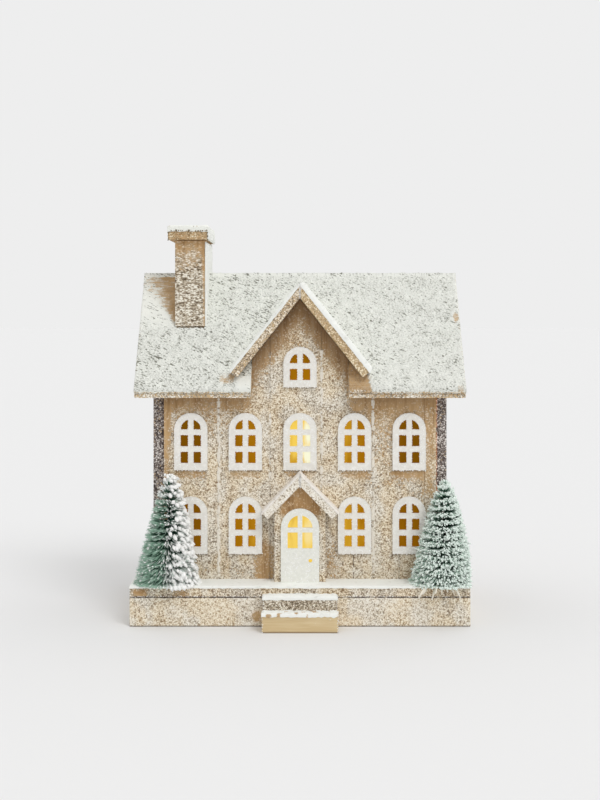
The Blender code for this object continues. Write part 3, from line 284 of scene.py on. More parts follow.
class Shade:
    """One material's node tree, with short names for the nodes used here."""

    def __init__(self, name, roughness, metallic=0.0):
        self.material = bpy.data.materials.new(name)
        self.material.use_nodes = True
        self.tree = self.material.node_tree
        self.surface = self.tree.nodes["Principled BSDF"]
        self.set("Roughness", roughness)
        self.set("Metallic", metallic)
        self.place = self.tree.nodes.new("ShaderNodeTexCoord").outputs["Object"]

    def feed(self, socket, value):
        """Give a socket a constant or link it."""
        if isinstance(value, Field):
            value = value.socket
        if isinstance(value, bpy.types.NodeSocket):
            self.tree.links.new(value, socket)
        else:
            socket.default_value = value

    def set(self, name, value):
        """Give one of the surface's own sockets a value."""
        self.feed(self.surface.inputs[name], value)

    def make(self, kind, inputs, **settings):
        """A node with its settings and its inputs, by name or number."""
        made = self.tree.nodes.new(kind)
        for key, value in settings.items():
            setattr(made, key, value)
        for key, value in inputs.items():
            self.feed(made.inputs[key], value)
        return made

    def node(self, kind, inputs, output=0, **settings):
        return Field(self, self.make(kind, inputs, **settings).outputs[output])

    def math(self, operation, *values):
        return self.node("ShaderNodeMath", dict(enumerate(values)), operation=operation)

    def smooth(self, value, low, high):
        """0 below low, 1 above high and smooth between; low may be the larger."""
        inputs = {"Value": value, "From Min": low, "From Max": high}
        return self.node("ShaderNodeMapRange", inputs, interpolation_type="SMOOTHSTEP")

    @contextlib.contextmanager
    def turned(self, angle):
        """Patterns made in this block are turned in the plane of the front."""
        upright = self.place
        if angle:
            inputs = {"Vector": upright, "Angle": angle}
            self.place = self.node("ShaderNodeVectorRotate", inputs, rotation_type="Y_AXIS")
        yield
        self.place = upright

    def stretched(self, stretch):
        inputs = {0: self.place, 1: stretch}
        return self.node("ShaderNodeVectorMath", inputs, operation="MULTIPLY")

    def noise(self, size, stretch=(1, 1, 1), detail=2.0, rough=0.5, warp=0.0):
        inputs = {"Vector": self.stretched(stretch), "Scale": 1 / size, "Detail": detail,
                  "Roughness": rough, "Distortion": warp}
        return self.node("ShaderNodeTexNoise", inputs, "Fac")

    def cells(self, size, stretch=(1, 1, 1)):
        """Distance from the nearest grain's middle, and two random numbers for that grain."""
        inputs = {"Vector": self.stretched(stretch), "Scale": 1 / size}
        grains = self.make("ShaderNodeTexVoronoi", inputs).outputs
        chances = self.make("ShaderNodeSeparateColor", {"Color": grains["Color"]}).outputs
        return [Field(self, socket) for socket in (grains["Distance"], *chances[:2])]

    def mix(self, share, first, second):
        inputs = {"Factor": share, 6: first, 7: second}
        return self.node("ShaderNodeMix", inputs, 2, data_type="RGBA")

    def split(self):
        """The place as three separate numbers."""
        parts = self.make("ShaderNodeSeparateXYZ", {0: self.place}).outputs
        return [Field(self, socket) for socket in parts]

    def bump(self, height, distance, strength):
        inputs = {"Height": height, "Distance": distance, "Strength": strength}
        self.set("Normal", self.node("ShaderNodeBump", inputs, "Normal"))

    def colour(self, value):
        self.set("Base Color", value)

    def patch(self, left, right, foot, top, soft):
        """1 inside an upright rectangle and 0 outside it, with soft sides."""
        x, _, z = self.split()
        inside = [self.smooth(value, low - soft, low + soft)
                  * self.smooth(value, high + soft, high - soft)
                  for value, low, high in ((x, left, right), (z, foot, top))]
        return inside[0] * inside[1]

    def patches(self, places, total=0.0):
        """The sum of several patches, each times its share."""
        for share, *sides in places.values():
            total = total + share * self.patch(*sides)
        return total

    def attribute(self, name):
        return self.node("ShaderNodeAttribute", {}, "Fac", attribute_name=name)


STRETCHES = {"X": (0.05, 1, 1), "Y": (1, 0.05, 1), "Z": (1, 1, 0.05)}


def wood_colour(m, grain, dark, mid, light):
    """Straight grain along one axis, with broad bands, fine fibres and slow patches."""
    stretch = STRETCHES[grain]
    bands = m.noise(BAND_SIZE, stretch, detail=3, warp=0.6)
    fibres = m.noise(FIBRE_SIZE, stretch, detail=3, rough=0.6)
    patches = m.noise(WOOD_PATCH_SIZE, detail=1)
    tone = bands * 0.6 + fibres * 0.4 + (patches - 0.5) * 0.3
    low = m.mix(m.smooth(tone, 0.30, 0.52), dark, mid)
    return m.mix(m.smooth(tone, 0.48, 0.72), low, light), fibres


def grain_field(m, size, stretch):
    """Tone of sprayed grains, 0 in the pits to 1 on the brightest, and two chances."""
    middle, tone, chance = m.cells(size, stretch)
    _, small, _ = m.cells(size * 0.62, stretch)
    grit = m.noise(size * 0.7, stretch, detail=2, rough=0.6)
    # The tone falls towards each grain's edge, partly painted shade in the gaps between grains
    return 0.34 * tone + 0.34 * small - 0.62 * middle + 0.55 * grit + 0.18, chance, small


def sprayed_wood(name, grain, cover, bare=None, marks_and_shade=None, turn=0.0, tones=WOOD,
                 spray=SPRAY, size=SPRAY_SIZE, shift=0.0, stretch=(1, 1, 1)):
    """Pale wood under sprayed snow grains.

    cover is how full the spray is, 1 or more hiding the wood, and shift makes it lighter.
    bare(m) is where the spray left the wood uncovered, in some places painted shade,
    marks(m) where dark seams and cracks run and where shadows are painted, and turn the
    angle of the grain in the plane of the front.
    """
    m = Shade(name, roughness=0.9)
    with m.turned(turn):
        wood, fibres = wood_colour(m, grain, *tones)
    clouds = m.noise(CLOUD_SIZE, detail=3) - 0.5
    spread = clouds * 0.7 + cover
    field, chance, small = grain_field(m, size, stretch)
    if bare:
        # Patches where wood shows; over the porch's door such a patch is painted shade
        ragged = m.math("MULTIPLY_ADD", m.noise(RAGGED_SIZE, detail=4, rough=0.65), 1.8, 0.1)
        missed_and_shade = bare(m) * ragged
        spread = m.math("MAXIMUM", spread - missed_and_shade, 0.11)
    dusty = m.smooth(spread, 0.15, 0.8) * m.smooth(small, 0.3, 0.7)
    wood = m.mix(dusty, wood, WOOD_DUST)
    tone = field + 0.28 * clouds + 0.16 * m.smooth(spread, 0.3, 1.0) + (shift - 0.14)
    pit, mid, light = spray
    if spray is SPRAY:
        tint = m.smooth(m.noise(TINT_SIZE, (1.3, 1, 0.8), detail=2), 0.40, 0.62)
        pit, mid, light = (m.mix(tint, warm, cool) for warm, cool in zip(SPRAY, SPRAY_COOL))
    grains = m.mix(m.smooth(tone, 0.16, 0.46), pit, mid)
    grains = m.mix(m.smooth(tone, 0.42, 0.78), grains, light)
    if bare:
        grains = m.mix(m.smooth(missed_and_shade, 0.2, 1.1) * 0.75, grains, SPRAY_WARM)
    covered = m.smooth(spread - chance, -0.04, 0.06)
    colour = m.mix(covered, wood, grains)
    # Dark cracks and seams, and painted shadows, mixed in with one dark colour
    if marks_and_shade:
        colour = m.mix(marks_and_shade(m), colour, CRACK_AND_SHADOW)
    m.colour(colour)
    m.bump(0.8 * (field * covered) + 0.2 * fibres, 0.0004, 0.6)
    return m


def snow_look(name, pit=SNOW_PIT, top=SNOW, marks_and_shade=None, shade=(0.44, 1.12)):
    """Lumpy snow: the mesh carries how deep each point lies and where wood shows."""
    m = Shade(name, roughness=0.95)
    depth = m.attribute("pit")
    grit = m.noise(GRIT_SIZE, detail=3, rough=0.7)
    fine = grit - 0.5
    # Deep points are painted towards the pit colour: painted shade in the hollows
    deep = m.smooth(depth + fine * 0.5, *shade)
    # Painted shadows in the snow's creases, where given
    if marks_and_shade:
        deep = m.math("MAXIMUM", deep, marks_and_shade(m, depth))
    wood, fibres = wood_colour(m, "X", *WOOD)
    wood = m.mix(m.smooth(grit, 0.42, 0.62), wood, WOOD_DUST)
    bare = m.attribute("bare") + fine * 0.9 + (fibres - 0.5) * 0.7
    m.colour(m.mix(m.smooth(bare, 0.30, 0.75), m.mix(deep, top, pit), wood))
    m.bump(grit, 0.0004, 0.8)
    return m


def painted_slanting_shadows(m, depth):
    """Painted short thin shadows between the knobs of the roof's snow, fewer on its right."""
    x, _, _ = m.split()
    with m.turned(DASH_TURN):
        dashes = m.noise(DASH_SIZE, (0.36, 0.05, 1.45), detail=1, warp=0.2)
        dots = m.noise(0.0008, detail=1)
    patches = (m.noise(0.012, detail=2) - 0.5) * 0.25
    limit = 0.638 + m.smooth(x, -0.03, 0.05) * 0.032 + patches
    dark = 0.86 * dashes + 0.14 * dots + 0.14 * depth - limit
    return m.smooth(dark, 0.0, 0.09) * 0.95


def painted_white(name, tint):
    """Thin matt paint with frost grains along its surface."""
    m = Shade(name, roughness=0.75)
    strokes = m.noise(0.003, detail=4, rough=0.65)
    middle, chance, _ = m.cells(0.0009)
    grains = m.smooth(middle, 0.7, 0.3) * m.smooth(chance, 0.25, 0.1)
    base = m.mix(m.smooth(strokes, 0.35, 0.7), srgb(*tint), srgb(*(v - 10 for v in tint)))
    m.colour(m.mix(grains, base, srgb(252, 252, 250)))
    m.bump(strokes + grains, 0.0003, 0.4)
    return m


def hashed(cells, seed):
    """Repeatable random numbers from 0 to 1 for rows of whole numbers."""
    value = np.full(len(cells), seed * 40503 + 977, np.uint32)
    for column, factor in zip(cells.T, (374761393, 668265263, 2246822519)):
        value = (value ^ (column.astype(np.int64).astype(np.uint32) * np.uint32(factor)))
        value = value * np.uint32(1274126177)
        value ^= value >> np.uint32(15)
    return (value & np.uint32(0xFFFFFF)) / float(0x1000000)


def smoothstep(value, low, high):
    share = np.clip((value - low) / (high - low), 0, 1)
    return share * share * (3 - 2 * share)


def value_noise(points, size, seed):
    """Smooth noise from 0 to 1 with features about size across."""
    scaled = points / size
    base = np.floor(scaled)
    part = scaled - base
    part = part * part * (3 - 2 * part)
    total = np.zeros(len(points))
    for corner in itertools.product((0, 1), repeat=3):
        weight = np.where(corner, part, 1 - part).prod(axis=1)
        total += weight * hashed(base + corner, seed)
    return total


def nearest_grains(points, size, seed):
    """Distances to the nearest and the second nearest of loosely packed grains."""
    scaled = points / size
    base = np.floor(scaled)
    first = np.full(len(points), 9.0)
    second = first.copy()
    axes = range(points.shape[1])
    for corner in itertools.product((-1, 0, 1), repeat=len(axes)):
        cell = base + corner
        centre = cell + np.stack([hashed(cell, seed + i) for i in axes], axis=1)
        away = np.linalg.norm(scaled - centre, axis=1)
        second = np.minimum(second, np.maximum(first, away))
        first = np.minimum(first, away)
    return first, second


def lumps(points, size, seed):
    """Rounded knobs from 0 to 1 with creases between them."""
    nearest, _ = nearest_grains(points, size, seed)
    return 1 - np.clip(nearest / 0.9, 0, 1) ** 2


def snow_relief(points, size, seed):
    """Sprayed snow: knobs of two sizes on slow waves, 0 in the pits to 1 on top."""
    warp = np.stack([value_noise(points, 2 * size, seed + i) for i in (7, 8, 9)], axis=1)
    bent = points + (warp - 0.5) * size
    relief = 0.55 * lumps(bent, size, seed)
    relief += 0.20 * lumps(bent, size / 2.2, seed + 20)
    relief += 0.25 * value_noise(points, 2.6 * size, seed + 40)
    return np.clip(relief, 0, 1)


def creased_relief(points, seed):
    """Thick sprayed snow on a slope: small knobs with short slanting pits, 0 to 1."""
    across, along = points[:, 0], points[:, 2] / math.sin(ROOF_SLOPE)
    p = across * math.cos(KNOB_TURN) + along * math.sin(KNOB_TURN)
    q = along * math.cos(KNOB_TURN) - across * math.sin(KNOB_TURN)
    flat = np.stack([p / 1.5, q], axis=1)
    bend = [value_noise(points, 0.0022, seed + 30 + i) - 0.5 for i in range(2)]
    middle, next_grain = nearest_grains(flat + np.stack(bend, axis=1) * 0.0013, KNOB_SIZE, seed)
    crease = 1 - smoothstep(next_grain - middle, 0.02, 0.50)
    slow = value_noise(points, 0.0042, seed + 5) - 0.5
    grit = value_noise(points, 0.0010, seed + 8) - 0.5
    depth = 0.12 + 0.40 * crease + 0.25 * middle + 0.30 * slow + 0.24 * grit
    return np.clip(1 - depth, 0, 1)


def spot(points, x, z, half_x, half_z):
    """1 in the middle of a soft oval, 0 outside it."""
    away = np.hypot((points[:, 0] - x) / half_x, (points[:, 2] - z) / half_z)
    return smoothstep(away, 1.15, 0.45)


def add_object(name, data):
    """A new object in the scene."""
    obj = bpy.data.objects.new(name, data)
    bpy.context.scene.collection.objects.link(obj)
    return obj


def mesh_piece(name, vertices, faces, look, slot, **numbers):
    """A smooth mesh that rides on the house; numbers are kept at its points by name."""
    mesh = bpy.data.meshes.new(name)
    mesh.from_pydata([tuple(v) for v in vertices], [], [tuple(f) for f in faces])
    mesh.shade_smooth()
    for key, values in numbers.items():
        mesh.attributes.new(key, "FLOAT", "POINT").data.foreach_set("value", values)
    mesh.materials.append(look.material)
    obj = add_object(name, mesh)
    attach(obj, "house")
    return obj


def loose_snow(name, vertices, faces, look):
    """Grains or clumps of snow without pits, as one piece."""
    mesh_piece(name, vertices, faces, look, "snow_coat",
               pit=[0.1] * len(vertices), bare=[0.0] * len(vertices))


def relief_sheet(name, corner, across, along, layer, look, relief, skirt, keep=None,
                 bare=None, proud=0.0004, rim=0.0012, over=None, far_skirt=1.0):
    """A lumpy layer on the face spanned by two sides from a corner.

    relief gives the shape of its lumps, keep says where snow lies and bare where wood
    shows through, on the front roof partly as painted shadow. The layer stands proud of
    the face's edges, its rim ends below the face by skirt, far_skirt times as much on its
    far side, and it follows the main lumps of the node that it lies over.
    """
    corner, across, along, skirt = (Vector(v) for v in (corner, across, along, skirt))
    corner -= (across.normalized() + along.normalized()) * proud
    across += across.normalized() * 2 * proud
    along += along.normalized() * 2 * proud
    normal = across.cross(along).normalized()
    nu = max(2, round(across.length / layer.step) + 1)
    nv = max(2, round(along.length / layer.step) + 1)
    u, v = np.meshgrid(np.linspace(0, 1, nu), np.linspace(0, 1, nv), indexing="ij")
    u, v = u.ravel(), v.ravel()
    flat = np.array(corner) + np.outer(u, across) + np.outer(v, along)
    shape = relief(flat)
    shown = bare(flat) if bare else np.zeros(len(flat))
    edge = np.minimum.reduce([u * across.length, (1 - u) * across.length,
                              v * along.length, (1 - v) * along.length])
    edge = edge + (value_noise(flat, 0.003, 61) - 0.5) * rim
    fall = 0.15 + 0.85 * smoothstep(edge, -0.3 * rim, rim)
    height = fall * (layer.thick + layer.rough * (shape - 0.65)) * (1 - 0.85 * shown)
    if over:
        height += coarse_relief(over, flat, normal)
    top = flat + np.outer(height, normal)
    index = np.arange(nu * nv).reshape(nu, nv)
    kept = np.ones((nu - 1, nv - 1), bool)
    if keep:
        grid = flat.reshape(nu, nv, 3)
        middle = (grid[:-1, :-1] + grid[1:, 1:]) / 2
        kept = keep(middle.reshape(-1, 3)).reshape(nu - 1, nv - 1)
    i, j = np.nonzero(kept)
    faces = np.stack([index[i, j], index[i + 1, j], index[i + 1, j + 1], index[i, j + 1]], 1)
    rims = open_sides(kept, index)
    used = np.unique(rims)
    hang = 0.65 + 0.7 * value_noise(flat[used], 0.0022, 81)
    low = flat[used] + np.outer(hang * np.where(v[used] > 0.99, far_skirt, 1.0), skirt)
    lower = dict(zip(used.tolist(), range(len(top), len(top) + len(used))))
    sides = [(a, lower[a], lower[b], b) for a, b in rims.tolist()]
    # The rim's lower points get pit values that paint its hanging sides a little shaded
    mesh_piece(name, np.concatenate([top, low]), faces.tolist() + sides, look, "snow_coat",
               pit=np.concatenate([1 - shape, 0.1 + 0.3 * hang]),
               bare=np.concatenate([shown, shown[used]]))


def coarse_relief(node, flat, normal):
    """Height of a node's own surface over a flat sheet of points, 0 beside the node."""
    mesh = NODES[node].data
    tree = BVHTree.FromPolygons([v.co for v in mesh.vertices],
                                [tuple(p.vertices) for p in mesh.polygons])
    reach = 0.004
    outer = max(v.co.dot(normal) for v in mesh.vertices)
    heights = np.zeros(len(flat))
    for number, point in enumerate(flat):
        place, facing, _, _ = tree.ray_cast(Vector(point) + normal * reach, -normal, 2 * reach)
        if place is not None and facing.dot(normal) > 0.5:
            heights[number] = place.dot(normal) - outer
    return heights


def open_sides(kept, index):
    """Point pairs along the sides of kept cells that have no kept neighbour."""
    nu, nv = kept.shape
    padded = np.pad(kept, 1)
    rims = []
    for di, dj, a, b in ((-1, 0, (0, 1), (0, 0)), (1, 0, (1, 0), (1, 1)),
                         (0, -1, (0, 0), (1, 0)), (0, 1, (1, 1), (0, 1))):
        i, j = np.nonzero(kept & ~padded[1 + di:1 + di + nu, 1 + dj:1 + dj + nv])
        rims.append(np.stack([index[i + a[0], j + a[1]], index[i + b[0], j + b[1]]], 1))
    return np.concatenate(rims)


def top_sheet(name, node, layer, look, relief, depth=None, sunk=0.0, **more):
    """A layer of snow on top of a node's box, from its front edge backwards."""
    low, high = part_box(node)
    relief_sheet(name, (low.x, low.y, high.z - sunk), (high.x - low.x, 0, 0),
                 (0, depth or high.y - low.y, 0), layer, look, relief, **more)


def right_sheet(name, node, short, look, seed):
    """A thin layer of snow on the right side of a node's box, up to just below its top."""
    low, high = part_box(node)
    relief_sheet(name, (high.x, low.y, low.z), (0, high.y - low.y, 0),
                 (0, 0, high.z - low.z - short), CHIMNEY_LAYER, look,
                 partial(snow_relief, size=0.003, seed=seed), proud=0.0,
                 skirt=(-0.0006, 0, 0))


def wear(node, look):
    """Give a CAD node a scene material."""
    mesh = NODES[node].data
    mesh.materials.clear()
    mesh.materials.append(look.material)


def set_camera():
    scene = bpy.context.scene
    scene.view_settings.view_transform = "Standard"
    lens = bpy.data.cameras.new("camera")
    lens.lens = CAMERA_LENS
    lens.shift_y = CAMERA_SHIFT
    lens.clip_start = 0.01
    camera = add_object("camera", lens)
    camera.location = CAMERA_PLACE
    camera.rotation_euler = (math.radians(90), 0, 0)
    scene.camera = camera


def set_lamps():
    for name, (strength, *degrees) in LAMPS.items():
        spread, turn, height = (math.radians(value) for value in degrees)
        light = bpy.data.lights.new(name, "SUN")
        light.energy = strength
        light.angle = spread
        towards = Vector((math.sin(turn) * math.cos(height),
                          -math.cos(turn) * math.cos(height), math.sin(height)))
        lamp = add_object(name, light)
        lamp.rotation_mode = "QUATERNION"
        lamp.rotation_quaternion = towards.to_track_quat("Z", "Y")


def set_sky():
    """White light from all sides, and a pale backdrop where the camera looks past."""
    world = bpy.data.worlds.new("sky")
    bpy.context.scene.world = world
    world.use_nodes = True
    nodes, links = world.node_tree.nodes, world.node_tree.links
    nodes.clear()
    path = nodes.new("ShaderNodeLightPath")
    seen = nodes.new("ShaderNodeMath")
    seen.operation = "MAXIMUM"
    links.new(path.outputs["Is Camera Ray"], seen.inputs[0])
    links.new(path.outputs["Is Glossy Ray"], seen.inputs[1])
    both = nodes.new("ShaderNodeMixShader")
    links.new(seen.outputs[0], both.inputs[0])
    backgrounds = (((1, 1, 1, 1), SKY_STRENGTH), (BACKGROUND, 1.0))
    for number, (colour, strength) in enumerate(backgrounds, start=1):
        light = nodes.new("ShaderNodeBackground")
        light.inputs["Color"].default_value = colour
        light.inputs["Strength"].default_value = strength
        links.new(light.outputs[0], both.inputs[number])
    links.new(both.outputs[0], nodes.new("ShaderNodeOutputWorld").inputs["Surface"])


def set_floor():
    half = FLOOR_SIZE / 2
    mesh = bpy.data.meshes.new("floor")
    mesh.from_pydata([(-half, -half, 0), (half, -half, 0), (half, half, 0), (-half, half, 0)],
                     [], [(0, 1, 2, 3)])
    m = Shade("floor", roughness=1.0)
    m.set("Specular IOR Level", 0.0)
    m.set("Base Color", (FLOOR_SHADE,) * 3 + (1.0,))
    mesh.materials.append(m.material)
    floor = add_object("floor", mesh)


def roof_normal(side):
    """The way the roof's front, side -1, or its back, side 1, faces."""
    return Vector((0, side * math.sin(ROOF_SLOPE), math.cos(ROOF_SLOPE)))


def thinner_board(node, name, side, look):
    """The roof board under its snow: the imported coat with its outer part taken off."""
    mesh = NODES[node].data.copy()
    normal = roof_normal(side)
    outer = max(v.co.dot(normal) for v in mesh.vertices)
    for vertex in mesh.vertices:
        depth = outer - vertex.co.dot(normal)
        vertex.co -= normal * ROOF_SNOW * max(0.0, 1 - depth / ROOF_COAT)
    mesh.materials.clear()
    mesh.materials.append(look.material)
    board = add_object(name, mesh)
    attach(board, "house")
    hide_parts(node)


def roof_bare(points):
    """Where the front roof's spray is thin: by the chimney, at the rakes and the edges.
    Beside the chimney and below the left rake's tip the wood also paints their shadow.
    """
    x, z = points[:, 0], points[:, 2]
    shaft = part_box("chimney_shaft")[0].x
    reach = 0.0020 + 0.0280 * smoothstep(z, 0.218, 0.258)
    # Beside the shaft the wood shown grows towards it, partly painted shadow of the chimney
    beside = np.clip(1 - (shaft - x) / reach, 0, 1) * (x < shaft + 0.003)
    streaks = np.stack([x / 7, points[:, 1] * 0, z], axis=1)
    streaks = value_noise(streaks, 0.0008, 74) - 0.5
    faded = beside ** 1.1 * smoothstep(z, 0.2175, 0.2260)
    under_rake = smoothstep(0.0512 + (0.184 - z) * 0.25 - x, -0.0020, 0.0030) * (x > 0)
    under_rake *= smoothstep(z, 0.1990, 0.1970)
    shares = [(0.30 + 0.70 * faded + 0.40 * streaks) * (faded > 0), 0.85 * under_rake,
              0.30 * smoothstep(np.abs(x), 0.1200, 0.1232)]
    shares += [share * spot(points, *place) for share, place in THIN_AND_SHADED_SPOTS]
    ragged = value_noise(points, 0.0018, 71) - 0.5
    shown = np.maximum.reduce(shares)
    return np.clip(shown + ragged * 0.3 * (shown > 0.02) * (shown < 0.95), 0, 1)


def front_roof_relief(points):
    """The front roof's lumps, smoother by the gable's foot and beside the chimney."""
    x, z = points[:, 0], points[:, 2]
    shape = creased_relief(points, 3)
    calm = np.maximum(spot(points, *SMOOTH_SPOT), roof_bare(points) > 0.9)
    calm = np.maximum(calm, 0.75 * (x < -0.085) * smoothstep(z, 0.214, 0.232))
    plank_end = (np.abs(z - PLANK_END_HEIGHT) < 0.0006) & (x < -0.0965)
    return np.where(plank_end, 0.35, shape + calm * (0.92 - shape))


def clear_of_shaft(points):
    """Outside the chimney's foot."""
    low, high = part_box("chimney_shaft")
    x, y = points[:, 0], points[:, 1]
    return ((x < low.x + 0.001) | (x > high.x - 0.001)
            | (y < low.y + 0.001) | (y > high.y - 0.001))


def clear_of_gable(points):
    """Outside the chimney's foot and the notch behind the middle gable."""
    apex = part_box("gable_roof_left")[1].z - 0.009
    away = np.abs(points[:, 0])
    notch = (away < GABLE_HALF) & (points[:, 2] < apex - away * math.tan(RAKE_SLOPE))
    return clear_of_shaft(points) & ~notch


def dress_roof():
    """Boards with wood ends and thick lumpy snow."""
    eave_wood = sprayed_wood("roof_wood", "X", 0.66, tones=WOOD_PALE, spray=SPRAY_COOL,
                             size=0.0010)
    snow = snow_look("roof_snow", marks_and_shade=painted_slanting_shadows, shade=(0.39, 1.07))
    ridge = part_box("roof_front")[1]
    panels = (("roof_front", -1, FRONT_ROOF_LAYER, front_roof_relief, clear_of_gable, roof_bare),
              ("roof_back", 1, BACK_ROOF_LAYER, partial(creased_relief, seed=4),
               clear_of_shaft, None))
    for node, side, layer, relief, keep, bare in panels:
        thinner_board(node, f"{node}_board", side, eave_wood)
        low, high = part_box(node)
        run_y = (low.y if side < 0 else high.y) - ridge.y
        run = Vector((0, run_y, -abs(run_y) * math.tan(ROOF_SLOPE)))
        past_eave = run.normalized() * PAST_EAVE
        top = Vector((0, ridge.y, high.z)) - roof_normal(side) * ROOF_SNOW
        start = top + Vector((side * high.x, 0, 0)) + run + past_eave
        relief_sheet(f"{node}_snow", start, (-2 * high.x * side, 0, 0), -run - past_eave,
                     layer, snow, relief, keep=keep, bare=bare, skirt=(0, 0, -0.0012),
                     rim=0.0007, over=node, far_skirt=3.0)


def under_rakes(m):
    """Distance below the underside of the gable's boards, and from the middle."""
    x, _, z = m.split()
    away = m.math("ABSOLUTE", x)
    return RAKE_APEX - z - away * math.tan(RAKE_SLOPE), away


def under_roofs(m):
    """Near the eaves and rakes, where the spray did not reach the wall."""
    rake, away = under_rakes(m)
    _, _, z = m.split()
    outside = m.smooth(away, *GABLE_FADE)
    total = 0.0
    for side, below, fades in ((outside, EAVE_HEIGHT - z, EAVE_FADES),
                               (1.0 - outside, rake, RAKE_FADES)):
        for share, start, full in fades:
            total = total + share * (side * m.smooth(below, start, full))
    return total


def bare_front(m):
    """Where wood shows on the front wall: under the roofs and sills, and in patches."""
    shown = m.patches(BARE_WALL, under_roofs(m))
    _, _, z = m.split()
    for name in WINDOWS:
        if name.startswith("window_upper"):
            low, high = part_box(name)
            fade = m.smooth(z, low.z - 0.0120, low.z - 0.0005)
            sill = m.patch(low.x, high.x, low.z - 0.0100, low.z, 0.0040)
            shown = shown + 0.86 * (sill * fade)
    return shown


def wall_shades(m):
    """Short cracks low on the front wall, painted shadows under its sills and roofs, a dim foot."""
    broken = m.smooth(m.noise(0.004, detail=3), 0.42, 0.55)
    dark = m.patches(WALL_CRACKS) * broken
    # A painted shadow line under each window's frame
    for name in WINDOWS:
        low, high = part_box(name)
        dark = dark + 0.35 * m.patch(low.x, high.x, low.z - 0.0012, low.z, 0.0004)
    rake, away = under_rakes(m)
    _, _, z = m.split()
    near, far = GABLE_FADE
    # Painted shade under the rakes near the apex, and under the eaves
    inner = m.smooth(away, far, near) * m.smooth(rake, 0.028, -0.002)
    eave = m.smooth(away, near, far) * m.smooth(z, 0.156, 0.166)
    return dark + 0.63 * inner + 0.27 * eave + 0.11 * m.smooth(z, 0.066, 0.034)


def leak_light(m):
    """Warm light in the gap between a side wall and the front wall."""
    leak = m.patch(*LIGHT_LEAK) * m.smooth(m.noise(0.006, (0.3, 0.3, 1)), 0.30, 0.55)
    m.set("Emission Color", LEAK_COLOUR)
    m.set("Emission Strength", leak * 0.60)


def dress_walls():
    wear("wall_front", sprayed_wood("front_wall", "Z", 1.20, bare_front, wall_shades))
    wear("wall_back", sprayed_wood("back_wall", "Z", 1.0))
    sides = {name: sprayed_wood(f"{name}_sprayed", "Z", 0.95, tones=WOOD_GREY,
                                spray=SPRAY_GREY, shift=-0.06)
             for name in ("wall_left", "wall_right")}
    leak_light(sides["wall_right"])
    for name, look in sides.items():
        wear(name, look)
    fill_grooves()


def fill_grooves():
    """Broken lines of snow in the grooves between the front wall's planks."""
    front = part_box("wall_front")[0].y
    porch_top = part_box("porch_roof_left")[1].z
    look = snow_look("groove_snow", pit=srgb(186, 172, 150), top=srgb(240, 233, 220))
    half = GROOVE_WIDTH / 2
    for number, (x, full) in enumerate(GROOVES.items()):
        away = abs(x)
        top = GROOVE_TOP if away > GABLE_HALF else GROOVE_GABLE_TOP - away * 0.5
        foot = GROOVE_FOOT if away > PORCH_HALF else porch_top - away + 0.001

        def filled(points, full=full, number=number):
            ragged = 0.5 * value_noise(points, 0.0045, 90 + number)
            ragged += 0.5 * value_noise(points, 0.0011, 95 + number)
            off_line = np.abs(points[:, 0] - points[:, 0].mean()) / half
            return ragged - 0.22 * off_line > 0.86 - full

        relief_sheet(f"wall_groove_snow_{number + 1}", (x - half, front, foot),
                     (GROOVE_WIDTH, 0, 0), (0, 0, top - foot), GROOVE_LAYER, look,
                     partial(snow_relief, size=0.0016, seed=51), keep=filled, proud=0.0,
                     skirt=(0, 0.0005, 0), rim=0.0006)


def base_seam_and_contact_shadow(m):
    """The dark broken joint under the top board, and a painted contact shadow along the foot."""
    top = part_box("base_rail_front")[1].z
    broken = m.smooth(m.noise(0.0035, detail=3, rough=0.7), 0.40, 0.52)
    joint = m.patch(-0.2, 0.2, top - 0.0004, top + 0.0009, 0.0001)
    return broken * 0.85 * joint + painted_contact_shadow(m)


def painted_contact_shadow(m):
    """Painted contact shadow: the lower edge of a board that stands on the floor, darkened."""
    _, _, z = m.split()
    return m.smooth(z, 0.0014, 0.0004) * 0.62


def outside_walls(points):
    """The part of the base that lies round the house."""
    low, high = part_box("wall_left")[0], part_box("wall_right")[1]
    front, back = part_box("wall_front")[0].y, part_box("wall_back")[1].y
    x, y = points[:, 0], points[:, 1]
    return ~((x > low.x + 0.001) & (x < high.x - 0.001)
             & (y > front + 0.001) & (y < back - 0.001))


def worn(points):
    return 0.80 * smoothstep(value_noise(points, 0.0026, 44), 0.50, 0.72)


def dress_base():
    """The base box with its joint, the two steps, and the snow on all three."""
    wear("base_top", sprayed_wood("base_top_wood", "X", 1.1,
                                  partial(Shade.patches, places=BARE_BOARD), base_seam_and_contact_shadow,
                                  shift=-0.06))
    bare_rail = partial(Shade.patches, places=BARE_RAIL)
    for name in ("base_rail_front", "base_rail_back"):
        wear(name, sprayed_wood(f"{name}_wood", "X", 1.35, bare_rail, base_seam_and_contact_shadow,
                                tones=WOOD_PALE, shift=0.07))
    for name in ("base_rail_left", "base_rail_right"):
        wear(name, sprayed_wood(f"{name}_wood", "Y", 1.35, marks_and_shade=painted_contact_shadow, shift=0.07))
    wear("step_upper", sprayed_wood("step_upper_wood", "X", 1.3, spray=SPRAY_DARK,
                                    size=BOARD_SPRAY_SIZE, shift=-0.04))
    wear("step_lower", sprayed_wood("step_lower_wood", "X", -0.1, marks_and_shade=painted_contact_shadow,
                                    tones=WOOD_STEP))
    snow = snow_look("base_snow", pit=CLEAN_PIT, top=CLEAN_SNOW)
    top_sheet("base_snow", "base_top", BASE_LAYER, snow,
              partial(snow_relief, size=0.0028, seed=11), keep=outside_walls,
              skirt=(0, 0, -0.0009))
    for name, seed, bare in (("step_upper", 12, None), ("step_lower", 13, worn)):
        top_sheet(f"{name}_snow", name, STEP_LAYER, snow,
                  partial(snow_relief, size=0.0024, seed=seed), depth=TREAD, bare=bare,
                  skirt=(0, 0, -0.0018))


def above_roof(points):
    """Above the main roof, which the gable's boards run into."""
    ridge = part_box("roof_front")[1]
    roof = ridge.z - np.abs(points[:, 1] - ridge.y) * math.tan(ROOF_SLOPE)
    return points[:, 2] > roof - 0.003


